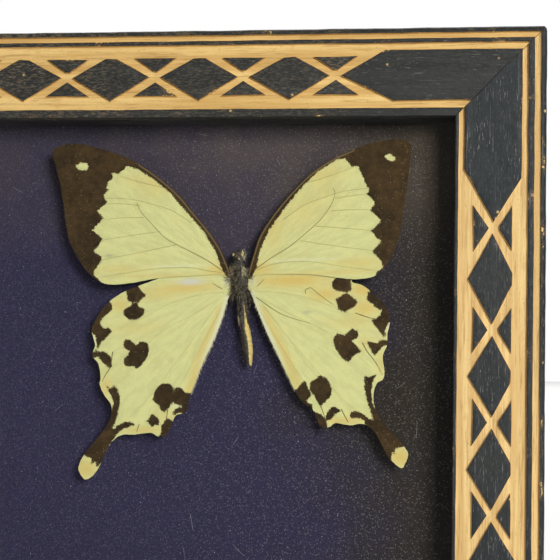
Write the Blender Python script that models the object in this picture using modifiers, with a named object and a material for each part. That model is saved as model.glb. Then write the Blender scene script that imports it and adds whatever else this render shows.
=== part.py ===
"""Framed butterfly: one spread swallowtail in a small carved box frame that stands or hangs.

Metres, +Z up. The front faces -Y, the bottom edge of the frame is on Z = 0, and the origin is
under the middle of the frame. A rail is drawn in its own coordinates: u runs along it from its
first mitre, v runs across its face from the outer edge inwards, and d runs back from its face.
"""

import math
import random
from dataclasses import dataclass

import bmesh
import bpy
from mathutils import Matrix, Vector

MM = 0.001
OBJECT_NAME = "framed_butterfly"

# Frame
FRAME_WIDTH = 194 * MM
FRAME_HEIGHT = 170 * MM
FRAME_DEPTH = 24 * MM
FACE_WIDTH = 22 * MM
LIP_DEPTH = 4 * MM
REBATE_WIDTH = 6 * MM
EDGE_ROUND = 1.2 * MM
CORNER_ROUND = 1.3 * MM
CARVE_DEPTH = 0.9 * MM
GAP = 0.3 * MM

# What lies in the rebate, from the glass back
GLASS_THICKNESS = 2 * MM
FILLET_DEPTH = 8 * MM
FILLET_WIDTH = 5.4 * MM
GROUND_THICKNESS = 0.6 * MM
PINNING_BOARD_THICKNESS = 3 * MM
BACK_BOARD_THICKNESS = 2 * MM
REBATE_PLAY = 0.4 * MM

# Brads that hold the back board, two in each rail
BRAD_DIAMETER = 1.2 * MM
BRAD_LENGTH = 9 * MM
BRAD_IN_WOOD = 4.5 * MM
BRAD_SHARE_ALONG_RAIL = (0.3, 0.7)

# Hanger on the back board
HANGER_HEIGHT = 128 * MM
HANGER_WIDTH = 9 * MM
HANGER_LENGTH = 20 * MM
HANGER_SHEET = 0.7 * MM
BARREL_RADIUS = 1.25 * MM
BARREL_BORE_RADIUS = 0.9 * MM
RING_WIRE_RADIUS = 0.6 * MM
RING_HALF_WIDTH = 7 * MM
RING_DROP = 11 * MM
SCREW_SHANK_RADIUS = 0.9 * MM
SCREW_HEAD_RADIUS = 2.1 * MM
SCREW_HEAD_HEIGHT = 0.9 * MM
SCREW_LENGTH = 3.6 * MM
SCREW_SPACING = 9 * MM

# Specimen: the middle of the thorax, the lean of the body and how far the wings lift
THORAX = Vector((20.5 * MM, -1.2 * MM, 107.7 * MM))
LEAN = math.radians(2.2)
FOREWING_LIFT = math.radians(2.5)
HINDWING_LIFT = math.radians(1.5)
FOREWING_Y = -1.0 * MM
HINDWING_Y = -0.4 * MM
WING_THICKNESS = 0.3 * MM
LEFT_WING_SCALE = 1.03
RIGHT_WING_SCALE = 0.98
PIN_RADIUS = 0.3 * MM
PIN_HOLE_RADIUS = 0.6 * MM
PIN_IN_BOARD = 2 * MM

# Wing outlines of one half in millimetres: outwards from the body's middle, up from the thorax
FOREWING = (
    (3.0, 1.2), (4.8, 5.5), (7.0, 10.8), (10.5, 16.5), (15.2, 22.5), (20.0, 26.8), (24.5, 30.2),
    (30.0, 33.3), (36.0, 35.5), (41.5, 36.4), (45.8, 35.6), (46.8, 33.4), (46.0, 29.5),
    (45.0, 24.5), (44.2, 19.0), (43.2, 13.5), (41.5, 8.5), (39.3, 4.4), (36.3, 1.5),
    (32.0, 0.3), (25.0, 0.6), (16.0, 1.4), (8.0, 0.8),
)
HINDWING = (
    (3.0, -1.2), (8.0, 1.2), (14.0, 2.2), (20.5, 1.3), (25.8, -0.2), (30.5, -1.9), (34.5, -4.5),
    (36.8, -7.2), (38.1, -10.5), (38.0, -14.0), (37.6, -17.0), (36.6, -20.0), (36.4, -23.5),
    (36.0, -26.0), (34.6, -27.6), (33.6, -30.0), (33.9, -33.0), (35.4, -36.5), (38.2, -39.9),
    (40.8, -42.6), (42.1, -45.2), (41.8, -47.3), (40.3, -48.3), (38.3, -47.0), (36.2, -44.0),
    (34.4, -40.8), (31.8, -38.2), (29.0, -37.3), (24.3, -37.2), (21.8, -38.2), (20.0, -38.0),
    (18.3, -35.8), (17.0, -33.2), (15.0, -31.0), (13.3, -27.0), (11.0, -22.5), (7.8, -15.5),
    (4.6, -7.5),
)
# Body in millimetres: (sideways, up, radius) along its middle, from the head to the tail
BODY = (
    (-0.3, 8.2, 0.3), (-0.3, 7.8, 1.0), (-0.2, 6.9, 1.35), (-0.1, 5.7, 1.1), (0.0, 4.2, 1.7),
    (0.0, 1.5, 2.2), (0.0, -1.5, 2.15), (0.2, -4.0, 1.5), (0.5, -6.5, 1.15), (0.9, -11.0, 1.35),
    (1.4, -16.0, 1.2), (1.8, -20.0, 0.75), (1.9, -21.8, 0.25),
)


@dataclass(frozen=True)
class Carving:
    """Where one rail is carved, in millimetres across its face from the outer edge."""

    outer_line: tuple
    second_line: float
    field_outer: float
    island_outer: float
    crossing: float
    island_inner: float
    field_inner: float
    lip: float
    crossings_along: tuple


LONG_ACROSS = ((1.4, 2.9), 3.95, 5.55, 7.1, 11.9, 16.6, 18.1, 19.9)
SHORT_ACROSS = ((1.3, 3.0), 4.45, 5.9, 8.1, 12.7, 17.4, 19.8, 21.2)
CARVINGS = {
    "rail_top": Carving(*LONG_ACROSS, (51.5, 74.3, 97.0, 119.5, 142.5)),
    "rail_bottom": Carving(*LONG_ACROSS, (51.2, 74.0, 97.0, 119.8, 142.6)),
    "rail_right": Carving(*SHORT_ACROSS, (49.5, 74.3, 96.7, 119.0)),
    "rail_left": Carving(*SHORT_ACROSS, (50.6, 73.4, 96.2, 120.0)),
}

# Shape of the raised islands round a crossing, in millimetres
ARM_MEETS = 1.35
DIAMOND_FLAT = 1.4
DIAMOND_POINT = 1.2
OUTER_TRIANGLE = 5.5
INNER_TRIANGLE = 5.7
TRIANGLE_TIP = 0.5
OUTER_TIP_BACK = 1.5
INNER_TIP_BACK = 1.1
BLOCK_OUTER = 12.2
BLOCK_INNER = 14.3
HAND_CUT = 0.12

HALF_WIDTH = FRAME_WIDTH / 2
FRONT = -FRAME_DEPTH / 2
RAIL_BASES = {
    "rail_top": ((1, 0, 0), (0, 0, -1), (-HALF_WIDTH, FRONT, FRAME_HEIGHT), FRAME_WIDTH),
    "rail_bottom": ((-1, 0, 0), (0, 0, 1), (HALF_WIDTH, FRONT, 0), FRAME_WIDTH),
    "rail_right": ((0, 0, -1), (-1, 0, 0), (HALF_WIDTH, FRONT, FRAME_HEIGHT), FRAME_HEIGHT),
    "rail_left": ((0, 0, 1), (1, 0, 0), (-HALF_WIDTH, FRONT, 0), FRAME_HEIGHT),
}

GLASS_FRONT = FRONT + LIP_DEPTH + GAP
FILLET_FRONT = GLASS_FRONT + GLASS_THICKNESS + GAP
GROUND_FRONT = FILLET_FRONT + FILLET_DEPTH + GAP
PINNING_FRONT = GROUND_FRONT + GROUND_THICKNESS + GAP
BACK_BOARD_FRONT = PINNING_FRONT + PINNING_BOARD_THICKNESS + GAP
BACK_BOARD_REAR = BACK_BOARD_FRONT + BACK_BOARD_THICKNESS
REBATE_V = FACE_WIDTH - REBATE_WIDTH
PANEL_WIDTH = FRAME_WIDTH - 2 * (REBATE_V + REBATE_PLAY)
PANEL_HEIGHT = FRAME_HEIGHT - 2 * (REBATE_V + REBATE_PLAY)
MIDDLE_HEIGHT = FRAME_HEIGHT / 2


def clear_scene():
    """Removes whatever the scene holds."""
    for obj in list(bpy.data.objects):
        bpy.data.objects.remove(obj, do_unlink=True)


def new_collection(name):
    """A new collection under the scene's own."""
    collection = bpy.data.collections.new(name)
    bpy.context.scene.collection.children.link(collection)
    return collection


def new_material(name, colour, roughness, metallic=0.0, transmission=0.0):
    """A Principled material of one finish."""
    material = bpy.data.materials.new(name)
    material.use_nodes = True
    shader = material.node_tree.nodes["Principled BSDF"]
    shader.inputs["Base Color"].default_value = (*colour, 1)
    shader.inputs["Roughness"].default_value = roughness
    shader.inputs["Metallic"].default_value = metallic
    shader.inputs["Transmission Weight"].default_value = transmission
    return material


def add_object(name, mesh, collection, material=None):
    """An object for the mesh, in the collection and of the material."""
    obj = bpy.data.objects.new(name, mesh)
    collection.objects.link(obj)
    if material:
        mesh.materials.clear()
        mesh.materials.append(material)
    return obj


def weld(mesh):
    """Joins doubled points and turns every face outwards."""
    bm = bmesh.new()
    bm.from_mesh(mesh)
    bmesh.ops.remove_doubles(bm, verts=bm.verts, dist=0.001 * MM)
    bmesh.ops.recalc_face_normals(bm, faces=bm.faces)
    bm.to_mesh(mesh)
    bm.free()


def mesh_of_curve(curve):
    """The closed mesh that a curve makes; the curve is removed."""
    holder = bpy.data.objects.new(curve.name, curve)
    bpy.context.scene.collection.objects.link(holder)
    graph = bpy.context.evaluated_depsgraph_get()
    mesh = bpy.data.meshes.new_from_object(holder.evaluated_get(graph))
    bpy.data.objects.remove(holder)
    weld(mesh)
    return mesh


def flat_mesh(name, outlines, thickness, smooth=False):
    """A plate in the XY plane, centred on it; outlines inside the first are holes."""
    curve = bpy.data.curves.new(name, "CURVE")
    curve.dimensions = "2D"
    curve.fill_mode = "BOTH"
    curve.extrude = thickness / 2
    curve.resolution_u = 3
    for outline in outlines:
        spline = curve.splines.new("BEZIER" if smooth else "POLY")
        points = spline.bezier_points if smooth else spline.points
        points.add(len(outline) - 1)
        for point, (x, y) in zip(points, outline):
            if smooth:
                point.co = (x, y, 0)
                point.handle_left_type = "AUTO"
                point.handle_right_type = "AUTO"
            else:
                point.co = (x, y, 0, 1)
        spline.use_cyclic_u = True
    return mesh_of_curve(curve)


def tube_mesh(name, route, radius, radii=None, cyclic=False):
    """A round bar along a route of points; radii gives each point's share of the radius."""
    curve = bpy.data.curves.new(name, "CURVE")
    curve.dimensions = "3D"
    curve.bevel_depth = radius
    curve.bevel_resolution = 2
    curve.use_fill_caps = not cyclic
    spline = curve.splines.new("POLY")
    spline.points.add(len(route) - 1)
    for index, place in enumerate(route):
        spline.points[index].co = (*place, 1)
        spline.points[index].radius = radii[index] if radii else 1
    spline.use_cyclic_u = cyclic
    return mesh_of_curve(curve)


def box_object(name, size, centre, collection, material, bevel=0.0):
    """A box from a primitive cube, with its edges eased."""
    bpy.ops.mesh.primitive_cube_add(size=1, location=(0, 0, 0))
    obj = bpy.context.object
    obj.name = name
    obj.data.name = name
    obj.data.transform(Matrix.Diagonal((*size, 1)))
    obj.location = centre
    for home in list(obj.users_collection):
        home.objects.unlink(obj)
    collection.objects.link(obj)
    obj.data.materials.append(material)
    if bevel:
        ease = obj.modifiers.new("eased edges", "BEVEL")
        ease.width = bevel
        ease.segments = 1
        ease.limit_method = "ANGLE"
    return obj


def cylinder_mesh(name, radius, start, end, sides=8):
    """A closed cylinder between two points."""
    start = Vector(start)
    run = Vector(end) - start
    bm = bmesh.new()
    bmesh.ops.create_cone(
        bm, cap_ends=True, segments=sides, radius1=radius, radius2=radius, depth=run.length
    )
    turn = Vector((0, 0, 1)).rotation_difference(run).to_matrix().to_4x4()
    bm.transform(Matrix.Translation(start + run / 2) @ turn)
    mesh = bpy.data.meshes.new(name)
    bm.to_mesh(mesh)
    bm.free()
    return mesh


def boolean(obj, operand, operation="DIFFERENCE"):
    """Cuts the operand from the object, or joins it on; the operand is a helper from then on."""
    operand.hide_render = True
    operand.display_type = "WIRE"
    modifier = obj.modifiers.new(f"{operation.lower()} {operand.name}", "BOOLEAN")
    modifier.operation = operation
    modifier.object = operand
    modifier.solver = "EXACT"
    return modifier


def rail_section():
    """The rail's section in (v, d): rounded outer edge, face, lip and rebate."""
    steps = 3
    rounding = []
    for index in range(steps + 1):
        angle = math.pi / 2 * index / steps
        v = EDGE_ROUND * (1 - math.cos(angle))
        d = EDGE_ROUND * (1 - math.sin(angle))
        rounding.append((v, d))
    return rounding + [
        (FACE_WIDTH, 0),
        (FACE_WIDTH, LIP_DEPTH),
        (REBATE_V, LIP_DEPTH),
        (REBATE_V, FRAME_DEPTH),
        (0, FRAME_DEPTH),
    ]


def corner_v(u):
    """How far in the frame's rounded corner starts at this distance along a rail."""
    inside = max(CORNER_ROUND - u, 0)
    return CORNER_ROUND - math.sqrt(max(CORNER_ROUND**2 - inside**2, 0))


def rail_matrix(name):
    """The turn and place that take (u, v, d) to the world."""
    along, across, corner, _ = RAIL_BASES[name]
    back = (0, 1, 0)
    matrix = Matrix((along, across, back)).transposed().to_4x4()
    matrix.translation = corner
    return matrix


def rail_blank(name):
    """An uncarved rail in (u, v, d): a moulded length, mitred, with its corners rounded."""
    length = RAIL_BASES[name][3]
    mesh = flat_mesh(name, [rail_section()], length)
    # The section is drawn in (v, d) and extruded along u, so the axes are turned round once.
    turn = Matrix(((0, 0, 1, length / 2), (1, 0, 0, 0), (0, 1, 0, 0), (0, 0, 0, 1)))
    mesh.transform(turn)
    bm = bmesh.new()
    bm.from_mesh(mesh)
    knife_edge = CORNER_ROUND * (1 - math.sqrt(0.5))
    for share in (0.45, 0.7, 1.0):
        for u in (CORNER_ROUND * share, length - CORNER_ROUND * share):
            bmesh.ops.bisect_plane(
                bm,
                geom=bm.verts[:] + bm.edges[:] + bm.faces[:],
                plane_co=(u, 0, 0),
                plane_no=(1, 0, 0),
            )
    play = GAP / 2 * math.sqrt(2)
    for vert in bm.verts:
        u, v, d = vert.co
        from_end = min(u, length - u)
        at_start = u < length / 2
        if from_end < 0.01 * MM:
            v = max(v, knife_edge)
            from_end = v + play
        else:
            v = max(v, corner_v(from_end))
            from_end = max(from_end, v + play)
        vert.co = (from_end if at_start else length - from_end, v, d)
    bmesh.ops.recalc_face_normals(bm, faces=bm.faces)
    bm.to_mesh(mesh)
    bm.free()
    return mesh


def island_outlines(carving):
    """The raised shapes inside the lattice: a diamond between crossings, two triangles at each."""
    outlines = []
    outer, middle, inner = carving.island_outer, carving.crossing, carving.island_inner
    for first, second in zip(carving.crossings_along, carving.crossings_along[1:]):
        centre = (first + second) / 2
        outlines.append(
            (
                (first + ARM_MEETS, middle),
                (centre - DIAMOND_FLAT, outer),
                (centre + DIAMOND_FLAT, outer),
                (second - ARM_MEETS, middle),
                (centre, inner + DIAMOND_POINT),
            )
        )
    for along in carving.crossings_along:
        outlines.append(
            (
                (along - OUTER_TRIANGLE, outer),
                (along + OUTER_TRIANGLE, outer),
                (along + TRIANGLE_TIP, middle - OUTER_TIP_BACK),
                (along - TRIANGLE_TIP, middle - OUTER_TIP_BACK),
            )
        )
        outlines.append(
            (
                (along - INNER_TRIANGLE, inner),
                (along, middle + INNER_TIP_BACK),
                (along + INNER_TRIANGLE, inner),
            )
        )
    return outlines


def lattice_outline(carving, length):
    """The edge of the lattice's floor, notched at each end by the solid corner block."""
    first, last = carving.crossings_along[0], carving.crossings_along[-1]
    past = length + 4
    return (
        (-4, carving.second_line),
        (past, carving.second_line),
        (past, carving.field_outer),
        (last + BLOCK_OUTER, carving.field_outer),
        (last + ARM_MEETS, carving.crossing),
        (last + BLOCK_INNER, carving.field_inner),
        (past, carving.field_inner),
        (past, carving.lip),
        (-4, carving.lip),
        (-4, carving.field_inner),
        (first - BLOCK_INNER, carving.field_inner),
        (first - ARM_MEETS, carving.crossing),
        (first - BLOCK_OUTER, carving.field_outer),
        (-4, carving.field_outer),
    )


def hand_cut(outline, chance):
    """The outline in metres, each corner a little off its mark, as a knife leaves it."""
    return [
        ((x + chance.uniform(-HAND_CUT, HAND_CUT)) * MM, (y + chance.uniform(-HAND_CUT, HAND_CUT)) * MM)
        for x, y in outline
    ]


def build_rail(name, parts, cutters, material):
    """One mitred rail, with its line and lattice carved and its brad holes drilled."""
    carving = CARVINGS[name]
    length = RAIL_BASES[name][3]
    matrix = rail_matrix(name)
    blank = rail_blank(name)
    blank.transform(matrix)
    rail = add_object(name, blank, parts, material)

    for index, (inner_end, outer_end) in enumerate(brad_ends(name), 1):
        into_wood = (outer_end - inner_end).normalized()
        mesh = cylinder_mesh(
            f"{name}_socket_{index}",
            BRAD_DIAMETER / 2 + GAP,
            outer_end - into_wood * (BRAD_IN_WOOD + 3 * MM),
            outer_end + into_wood * GAP,
            sides=6,
        )
        boolean(rail, add_object(f"{name}_socket_{index}_cutter", mesh, cutters))

    chance = random.Random(name)
    near, far = carving.outer_line
    line = ((-4, near), (length / MM + 4, near), (length / MM + 4, far), (-4, far))
    carved = {
        "line": ([line], CARVE_DEPTH),
        "lattice": ([lattice_outline(carving, length / MM)], CARVE_DEPTH),
        "islands": (island_outlines(carving), 2 * CARVE_DEPTH),
    }
    helpers = {}
    for label, (outlines, depth) in carved.items():
        cut = [hand_cut(outline, chance) for outline in outlines]
        mesh = flat_mesh(f"{name}_{label}", cut, 2 * depth)
        mesh.transform(matrix)
        helpers[label] = add_object(f"{name}_{label}_cutter", mesh, cutters)
    boolean(helpers["lattice"], helpers["islands"])
    boolean(rail, helpers["line"])
    boolean(rail, helpers["lattice"])
    return rail


def brad_ends(name):
    """The inner and outer end of each of a rail's brads."""
    matrix = rail_matrix(name)
    length = RAIL_BASES[name][3]
    d = BACK_BOARD_REAR - FRONT + GAP + BRAD_DIAMETER / 2
    outer_v = REBATE_V - BRAD_IN_WOOD
    ends = []
    for share in BRAD_SHARE_ALONG_RAIL:
        inner = matrix @ Vector((length * share, outer_v + BRAD_LENGTH, d))
        outer = matrix @ Vector((length * share, outer_v, d))
        ends.append((inner, outer))
    return ends


def build_brads(parts, material):
    """The brads behind the back board, driven into the rails from inside the rebate."""
    side_names = {"rail_top": "top", "rail_bottom": "bottom", "rail_right": "right", "rail_left": "left"}
    for rail_name, side in side_names.items():
        for index, (inner, outer) in enumerate(brad_ends(rail_name), 1):
            mesh = cylinder_mesh(f"brad_{side}_{index}", BRAD_DIAMETER / 2, inner, outer, sides=8)
            add_object(f"brad_{side}_{index}", mesh, parts, material)


def layer_centre(front, thickness):
    """The middle of a full panel whose front face is at this Y."""
    return (0, front + thickness / 2, MIDDLE_HEIGHT)


def build_panels(parts, cutters, finishes):
    """The glass, the ground paper, the pinning board and the back board."""
    panel = (PANEL_WIDTH, PANEL_HEIGHT)
    layers = (
        ("glass_pane", GLASS_FRONT, GLASS_THICKNESS, "glass", 0.3 * MM),
        ("ground_paper", GROUND_FRONT, GROUND_THICKNESS, "ground", 0),
        ("pinning_board", PINNING_FRONT, PINNING_BOARD_THICKNESS, "cork", 0),
        ("back_board", BACK_BOARD_FRONT, BACK_BOARD_THICKNESS, "hardboard", 0.3 * MM),
    )
    for name, front, thickness, finish, bevel in layers:
        size = (panel[0], thickness, panel[1])
        obj = box_object(name, size, layer_centre(front, thickness), parts, finishes[finish], bevel)
        if name in ("ground_paper", "pinning_board"):
            bore = cylinder_mesh(
                f"{name}_pin_hole",
                PIN_HOLE_RADIUS,
                (THORAX.x, front - MM, THORAX.z),
                (THORAX.x, min(front + thickness + MM, PINNING_FRONT + PIN_IN_BOARD + GAP), THORAX.z),
            )
            boolean(obj, add_object(f"{name}_pin_hole_cutter", bore, cutters))
        if name in ("back_board", "pinning_board"):
            for index, height in enumerate(screw_heights(), 1):
                bore = cylinder_mesh(
                    f"{name}_screw_hole_{index}",
                    SCREW_SHANK_RADIUS + GAP,
                    (0, BACK_BOARD_REAR + MM, height),
                    (0, screw_tip_y() - GAP, height),
                )
                boolean(obj, add_object(f"{name}_screw_hole_{index}_cutter", bore, cutters))


def build_fillets(parts, material):
    """Four strips that hold the glass away from the ground: two long, two short between them."""
    y = FILLET_FRONT + FILLET_DEPTH / 2
    edge = PANEL_HEIGHT / 2 - FILLET_WIDTH / 2
    for name, height in (("fillet_top", edge), ("fillet_bottom", -edge)):
        size = (PANEL_WIDTH, FILLET_DEPTH, FILLET_WIDTH)
        box_object(name, size, (0, y, MIDDLE_HEIGHT + height), parts, material, 0.3 * MM)
    side = PANEL_WIDTH / 2 - FILLET_WIDTH / 2
    short = PANEL_HEIGHT - 2 * FILLET_WIDTH - 2 * GAP
    for name, x in (("fillet_left", -side), ("fillet_right", side)):
        size = (FILLET_WIDTH, FILLET_DEPTH, short)
        box_object(name, size, (x, y, MIDDLE_HEIGHT), parts, material, 0.3 * MM)


def screw_heights():
    """The height of each hanger screw."""
    return (HANGER_HEIGHT - 5.5 * MM, HANGER_HEIGHT - 5.5 * MM - SCREW_SPACING)


def screw_tip_y():
    """How far in the hanger screws reach."""
    return BACK_BOARD_REAR + GAP + HANGER_SHEET + GAP - SCREW_LENGTH


def build_hanger(parts, cutters, finishes):
    """A strap with a rolled barrel, the ring that hangs in it, and two screws."""
    plate_y = BACK_BOARD_REAR + GAP + HANGER_SHEET / 2
    half = HANGER_WIDTH / 2
    ease = 1.5 * MM
    top, bottom = HANGER_HEIGHT, HANGER_HEIGHT - HANGER_LENGTH
    outline = (
        (-half, top), (-half, bottom + ease), (-half + ease, bottom), (half - ease, bottom),
        (half, bottom + ease), (half, top),
    )
    upright = Matrix.Rotation(math.pi / 2, 4, "X")
    mesh = flat_mesh("hanger_plate", [outline], HANGER_SHEET)
    mesh.transform(Matrix.Translation((0, plate_y, 0)) @ upright)
    plate = add_object("hanger_plate", mesh, parts, finishes["brass"])
    barrel_y = BACK_BOARD_REAR + GAP + BARREL_RADIUS
    barrel_z = HANGER_HEIGHT + 0.6 * MM
    barrel = cylinder_mesh(
        "hanger_barrel", BARREL_RADIUS, (-half, barrel_y, barrel_z), (half, barrel_y, barrel_z), 16
    )
    boolean(plate, add_object("hanger_barrel_joined", barrel, cutters), "UNION")
    bore = cylinder_mesh(
        "hanger_bore",
        BARREL_BORE_RADIUS,
        (-half - MM, barrel_y, barrel_z),
        (half + MM, barrel_y, barrel_z),
        12,
    )
    boolean(plate, add_object("hanger_bore_cutter", bore, cutters))
    for index, height in enumerate(screw_heights(), 1):
        hole = cylinder_mesh(
            f"hanger_hole_{index}",
            SCREW_SHANK_RADIUS + GAP,
            (0, BACK_BOARD_REAR, height),
            (0, BACK_BOARD_REAR + 3 * MM, height),
        )
        boolean(plate, add_object(f"hanger_hole_{index}_cutter", hole, cutters))
        build_screw(index, height, parts, cutters, finishes["steel"])

    route = [(RING_HALF_WIDTH, barrel_z)]
    for index in range(1, 12):
        angle = math.pi * index / 12
        route.append((RING_HALF_WIDTH * math.cos(angle), barrel_z - RING_DROP * math.sin(angle)))
    route.append((-RING_HALF_WIDTH, barrel_z))
    # The ring hangs up out of the way of the screws, against the board.
    raised = [(x, barrel_y, 2 * barrel_z - z) for x, z in route]
    ring = tube_mesh("hanger_ring", raised, RING_WIRE_RADIUS, cyclic=True)
    add_object("hanger_ring", ring, parts, finishes["steel"])


def build_screw(index, height, parts, cutters, material):
    """A small round-headed screw through the strap into the back board."""
    seat = BACK_BOARD_REAR + GAP + HANGER_SHEET + GAP
    shank = cylinder_mesh(
        f"hanger_screw_{index}",
        SCREW_SHANK_RADIUS,
        (0, screw_tip_y(), height),
        (0, seat + SCREW_HEAD_HEIGHT / 2, height),
    )
    screw = add_object(f"hanger_screw_{index}", shank, parts, material)
    head = cylinder_mesh(
        f"screw_head_{index}",
        SCREW_HEAD_RADIUS,
        (0, seat, height),
        (0, seat + SCREW_HEAD_HEIGHT, height),
        12,
    )
    boolean(screw, add_object(f"screw_head_{index}_joined", head, cutters), "UNION")


def specimen_matrix():
    """The lean and place of the specimen, whose own middle is its thorax."""
    return Matrix.Translation(THORAX) @ Matrix.Rotation(-LEAN, 4, "Y")


def build_wing(name, outline, side, scale, lift, y, parts, material):
    """A flat wing of one side (-1 left, 1 right), lifted a little towards the glass."""
    points = [(side * scale * x * MM, scale * z * MM) for x, z in outline]
    mesh = flat_mesh(name, [points], WING_THICKNESS, smooth=True)
    upright = Matrix.Rotation(math.pi / 2, 4, "X")
    lifted = Matrix.Rotation(-side * lift, 4, "Z")
    mesh.transform(specimen_matrix() @ Matrix.Translation((0, y, 0)) @ lifted @ upright)
    return add_object(name, mesh, parts, material)


def build_butterfly(parts, finishes):
    """The body, the four wings and the short pin that the body sits on."""
    route = [(x * MM, 0, z * MM) for x, z, _ in BODY]
    widest = max(radius for _, _, radius in BODY)
    body = tube_mesh("butterfly_body", route, widest * MM, [r / widest for _, _, r in BODY])
    body.transform(specimen_matrix())
    add_object("butterfly_body", body, parts, finishes["body"])
    for side, label, scale in ((-1, "left", LEFT_WING_SCALE), (1, "right", RIGHT_WING_SCALE)):
        build_wing(
            f"forewing_{label}", FOREWING, side, scale, FOREWING_LIFT, FOREWING_Y, parts, finishes["wing"]
        )
        build_wing(
            f"hindwing_{label}", HINDWING, side, scale, HINDWING_LIFT, HINDWING_Y, parts, finishes["wing"]
        )
    pin = cylinder_mesh(
        "mounting_pin",
        PIN_RADIUS,
        (THORAX.x, THORAX.y + widest * MM + GAP, THORAX.z),
        (THORAX.x, PINNING_FRONT + PIN_IN_BOARD, THORAX.z),
    )
    add_object("mounting_pin", pin, parts, finishes["steel"])


def main():
    """Builds every piece of the framed butterfly."""
    clear_scene()
    parts = new_collection(OBJECT_NAME)
    cutters = new_collection("cutters")
    finishes = {
        "painted_wood": new_material("painted_wood", (0.04, 0.045, 0.048), 0.5),
        "glass": new_material("glass", (1, 1, 1), 0.02, transmission=1),
        "fillet": new_material("fillet", (0.02, 0.02, 0.022), 0.7),
        "ground": new_material("ground", (0.035, 0.028, 0.06), 0.95),
        "cork": new_material("cork", (0.45, 0.28, 0.15), 0.9),
        "hardboard": new_material("hardboard", (0.25, 0.16, 0.09), 0.8),
        "brass": new_material("brass", (0.75, 0.55, 0.25), 0.35, 1),
        "steel": new_material("steel", (0.5, 0.5, 0.5), 0.4, 1),
        "wing": new_material("wing", (0.66, 0.64, 0.28), 0.8),
        "body": new_material("body", (0.06, 0.045, 0.03), 0.9),
    }
    for name in RAIL_BASES:
        build_rail(name, parts, cutters, finishes["painted_wood"])
    build_panels(parts, cutters, finishes)
    build_fillets(parts, finishes["fillet"])
    build_brads(parts, finishes["steel"])
    build_hanger(parts, cutters, finishes)
    build_butterfly(parts, finishes)


main()
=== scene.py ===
"""Framed butterfly: the looks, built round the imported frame.

Metres, +Z up, the front towards -Y. Sizes are given in millimetres times MM. A wing is drawn flat
in its own plane, in millimetres: outwards from the body's middle, and up from the thorax.
"""

import functools
import logging
import math
import random
from collections.abc import Callable, Iterable, Sequence
from dataclasses import dataclass
from enum import Enum

import bmesh
import bpy
import numpy as np
from mathutils import Euler, Matrix, Vector, noise
from mathutils.kdtree import KDTree


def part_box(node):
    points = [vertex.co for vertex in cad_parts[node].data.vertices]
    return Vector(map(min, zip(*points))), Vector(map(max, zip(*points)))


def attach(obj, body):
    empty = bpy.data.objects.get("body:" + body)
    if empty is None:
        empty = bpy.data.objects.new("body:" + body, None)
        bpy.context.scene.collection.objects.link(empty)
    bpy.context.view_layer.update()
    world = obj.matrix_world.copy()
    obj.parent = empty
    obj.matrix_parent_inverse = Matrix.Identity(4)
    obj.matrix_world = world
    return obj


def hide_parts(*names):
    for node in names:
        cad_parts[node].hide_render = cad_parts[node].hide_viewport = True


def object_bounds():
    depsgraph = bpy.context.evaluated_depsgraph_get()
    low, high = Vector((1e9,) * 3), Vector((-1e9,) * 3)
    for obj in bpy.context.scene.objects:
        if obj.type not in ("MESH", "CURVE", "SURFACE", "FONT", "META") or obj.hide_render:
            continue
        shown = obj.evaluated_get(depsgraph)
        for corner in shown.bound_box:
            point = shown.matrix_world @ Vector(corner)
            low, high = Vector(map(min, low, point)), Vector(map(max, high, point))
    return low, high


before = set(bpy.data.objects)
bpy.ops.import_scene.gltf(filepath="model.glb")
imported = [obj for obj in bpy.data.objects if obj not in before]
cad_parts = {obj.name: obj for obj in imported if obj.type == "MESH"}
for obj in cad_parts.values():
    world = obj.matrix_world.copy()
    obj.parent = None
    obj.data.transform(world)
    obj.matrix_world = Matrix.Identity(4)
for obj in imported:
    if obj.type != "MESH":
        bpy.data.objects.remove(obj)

MM = 0.001
WELD = 0.004 * MM
NEVER_CUT = 0.002 * MM
STILL_FLAT = math.radians(0.4)
CAD_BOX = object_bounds()
log = logging.getLogger("framed_butterfly")

Material = bpy.types.Material
Node = bpy.types.Node
Outputs = bpy.types.NodeOutputs
Socket = bpy.types.NodeSocket
Tree = bpy.types.NodeTree
Point = tuple[float, float]
Shape = Sequence[Point]
Colour = tuple[float, float, float]
Value = Socket | float | Sequence[float]


class Side(Enum):
    """The butterfly's left and right as it is seen, with the sign of X."""

    LEFT = -1
    RIGHT = 1


class Grain(Enum):
    """Which way a rail's wood grain runs, as the turn about Y that lays it along X."""

    ALONG_X = 0.0
    ALONG_Z = math.pi / 2


# --- The bench ---


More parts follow.
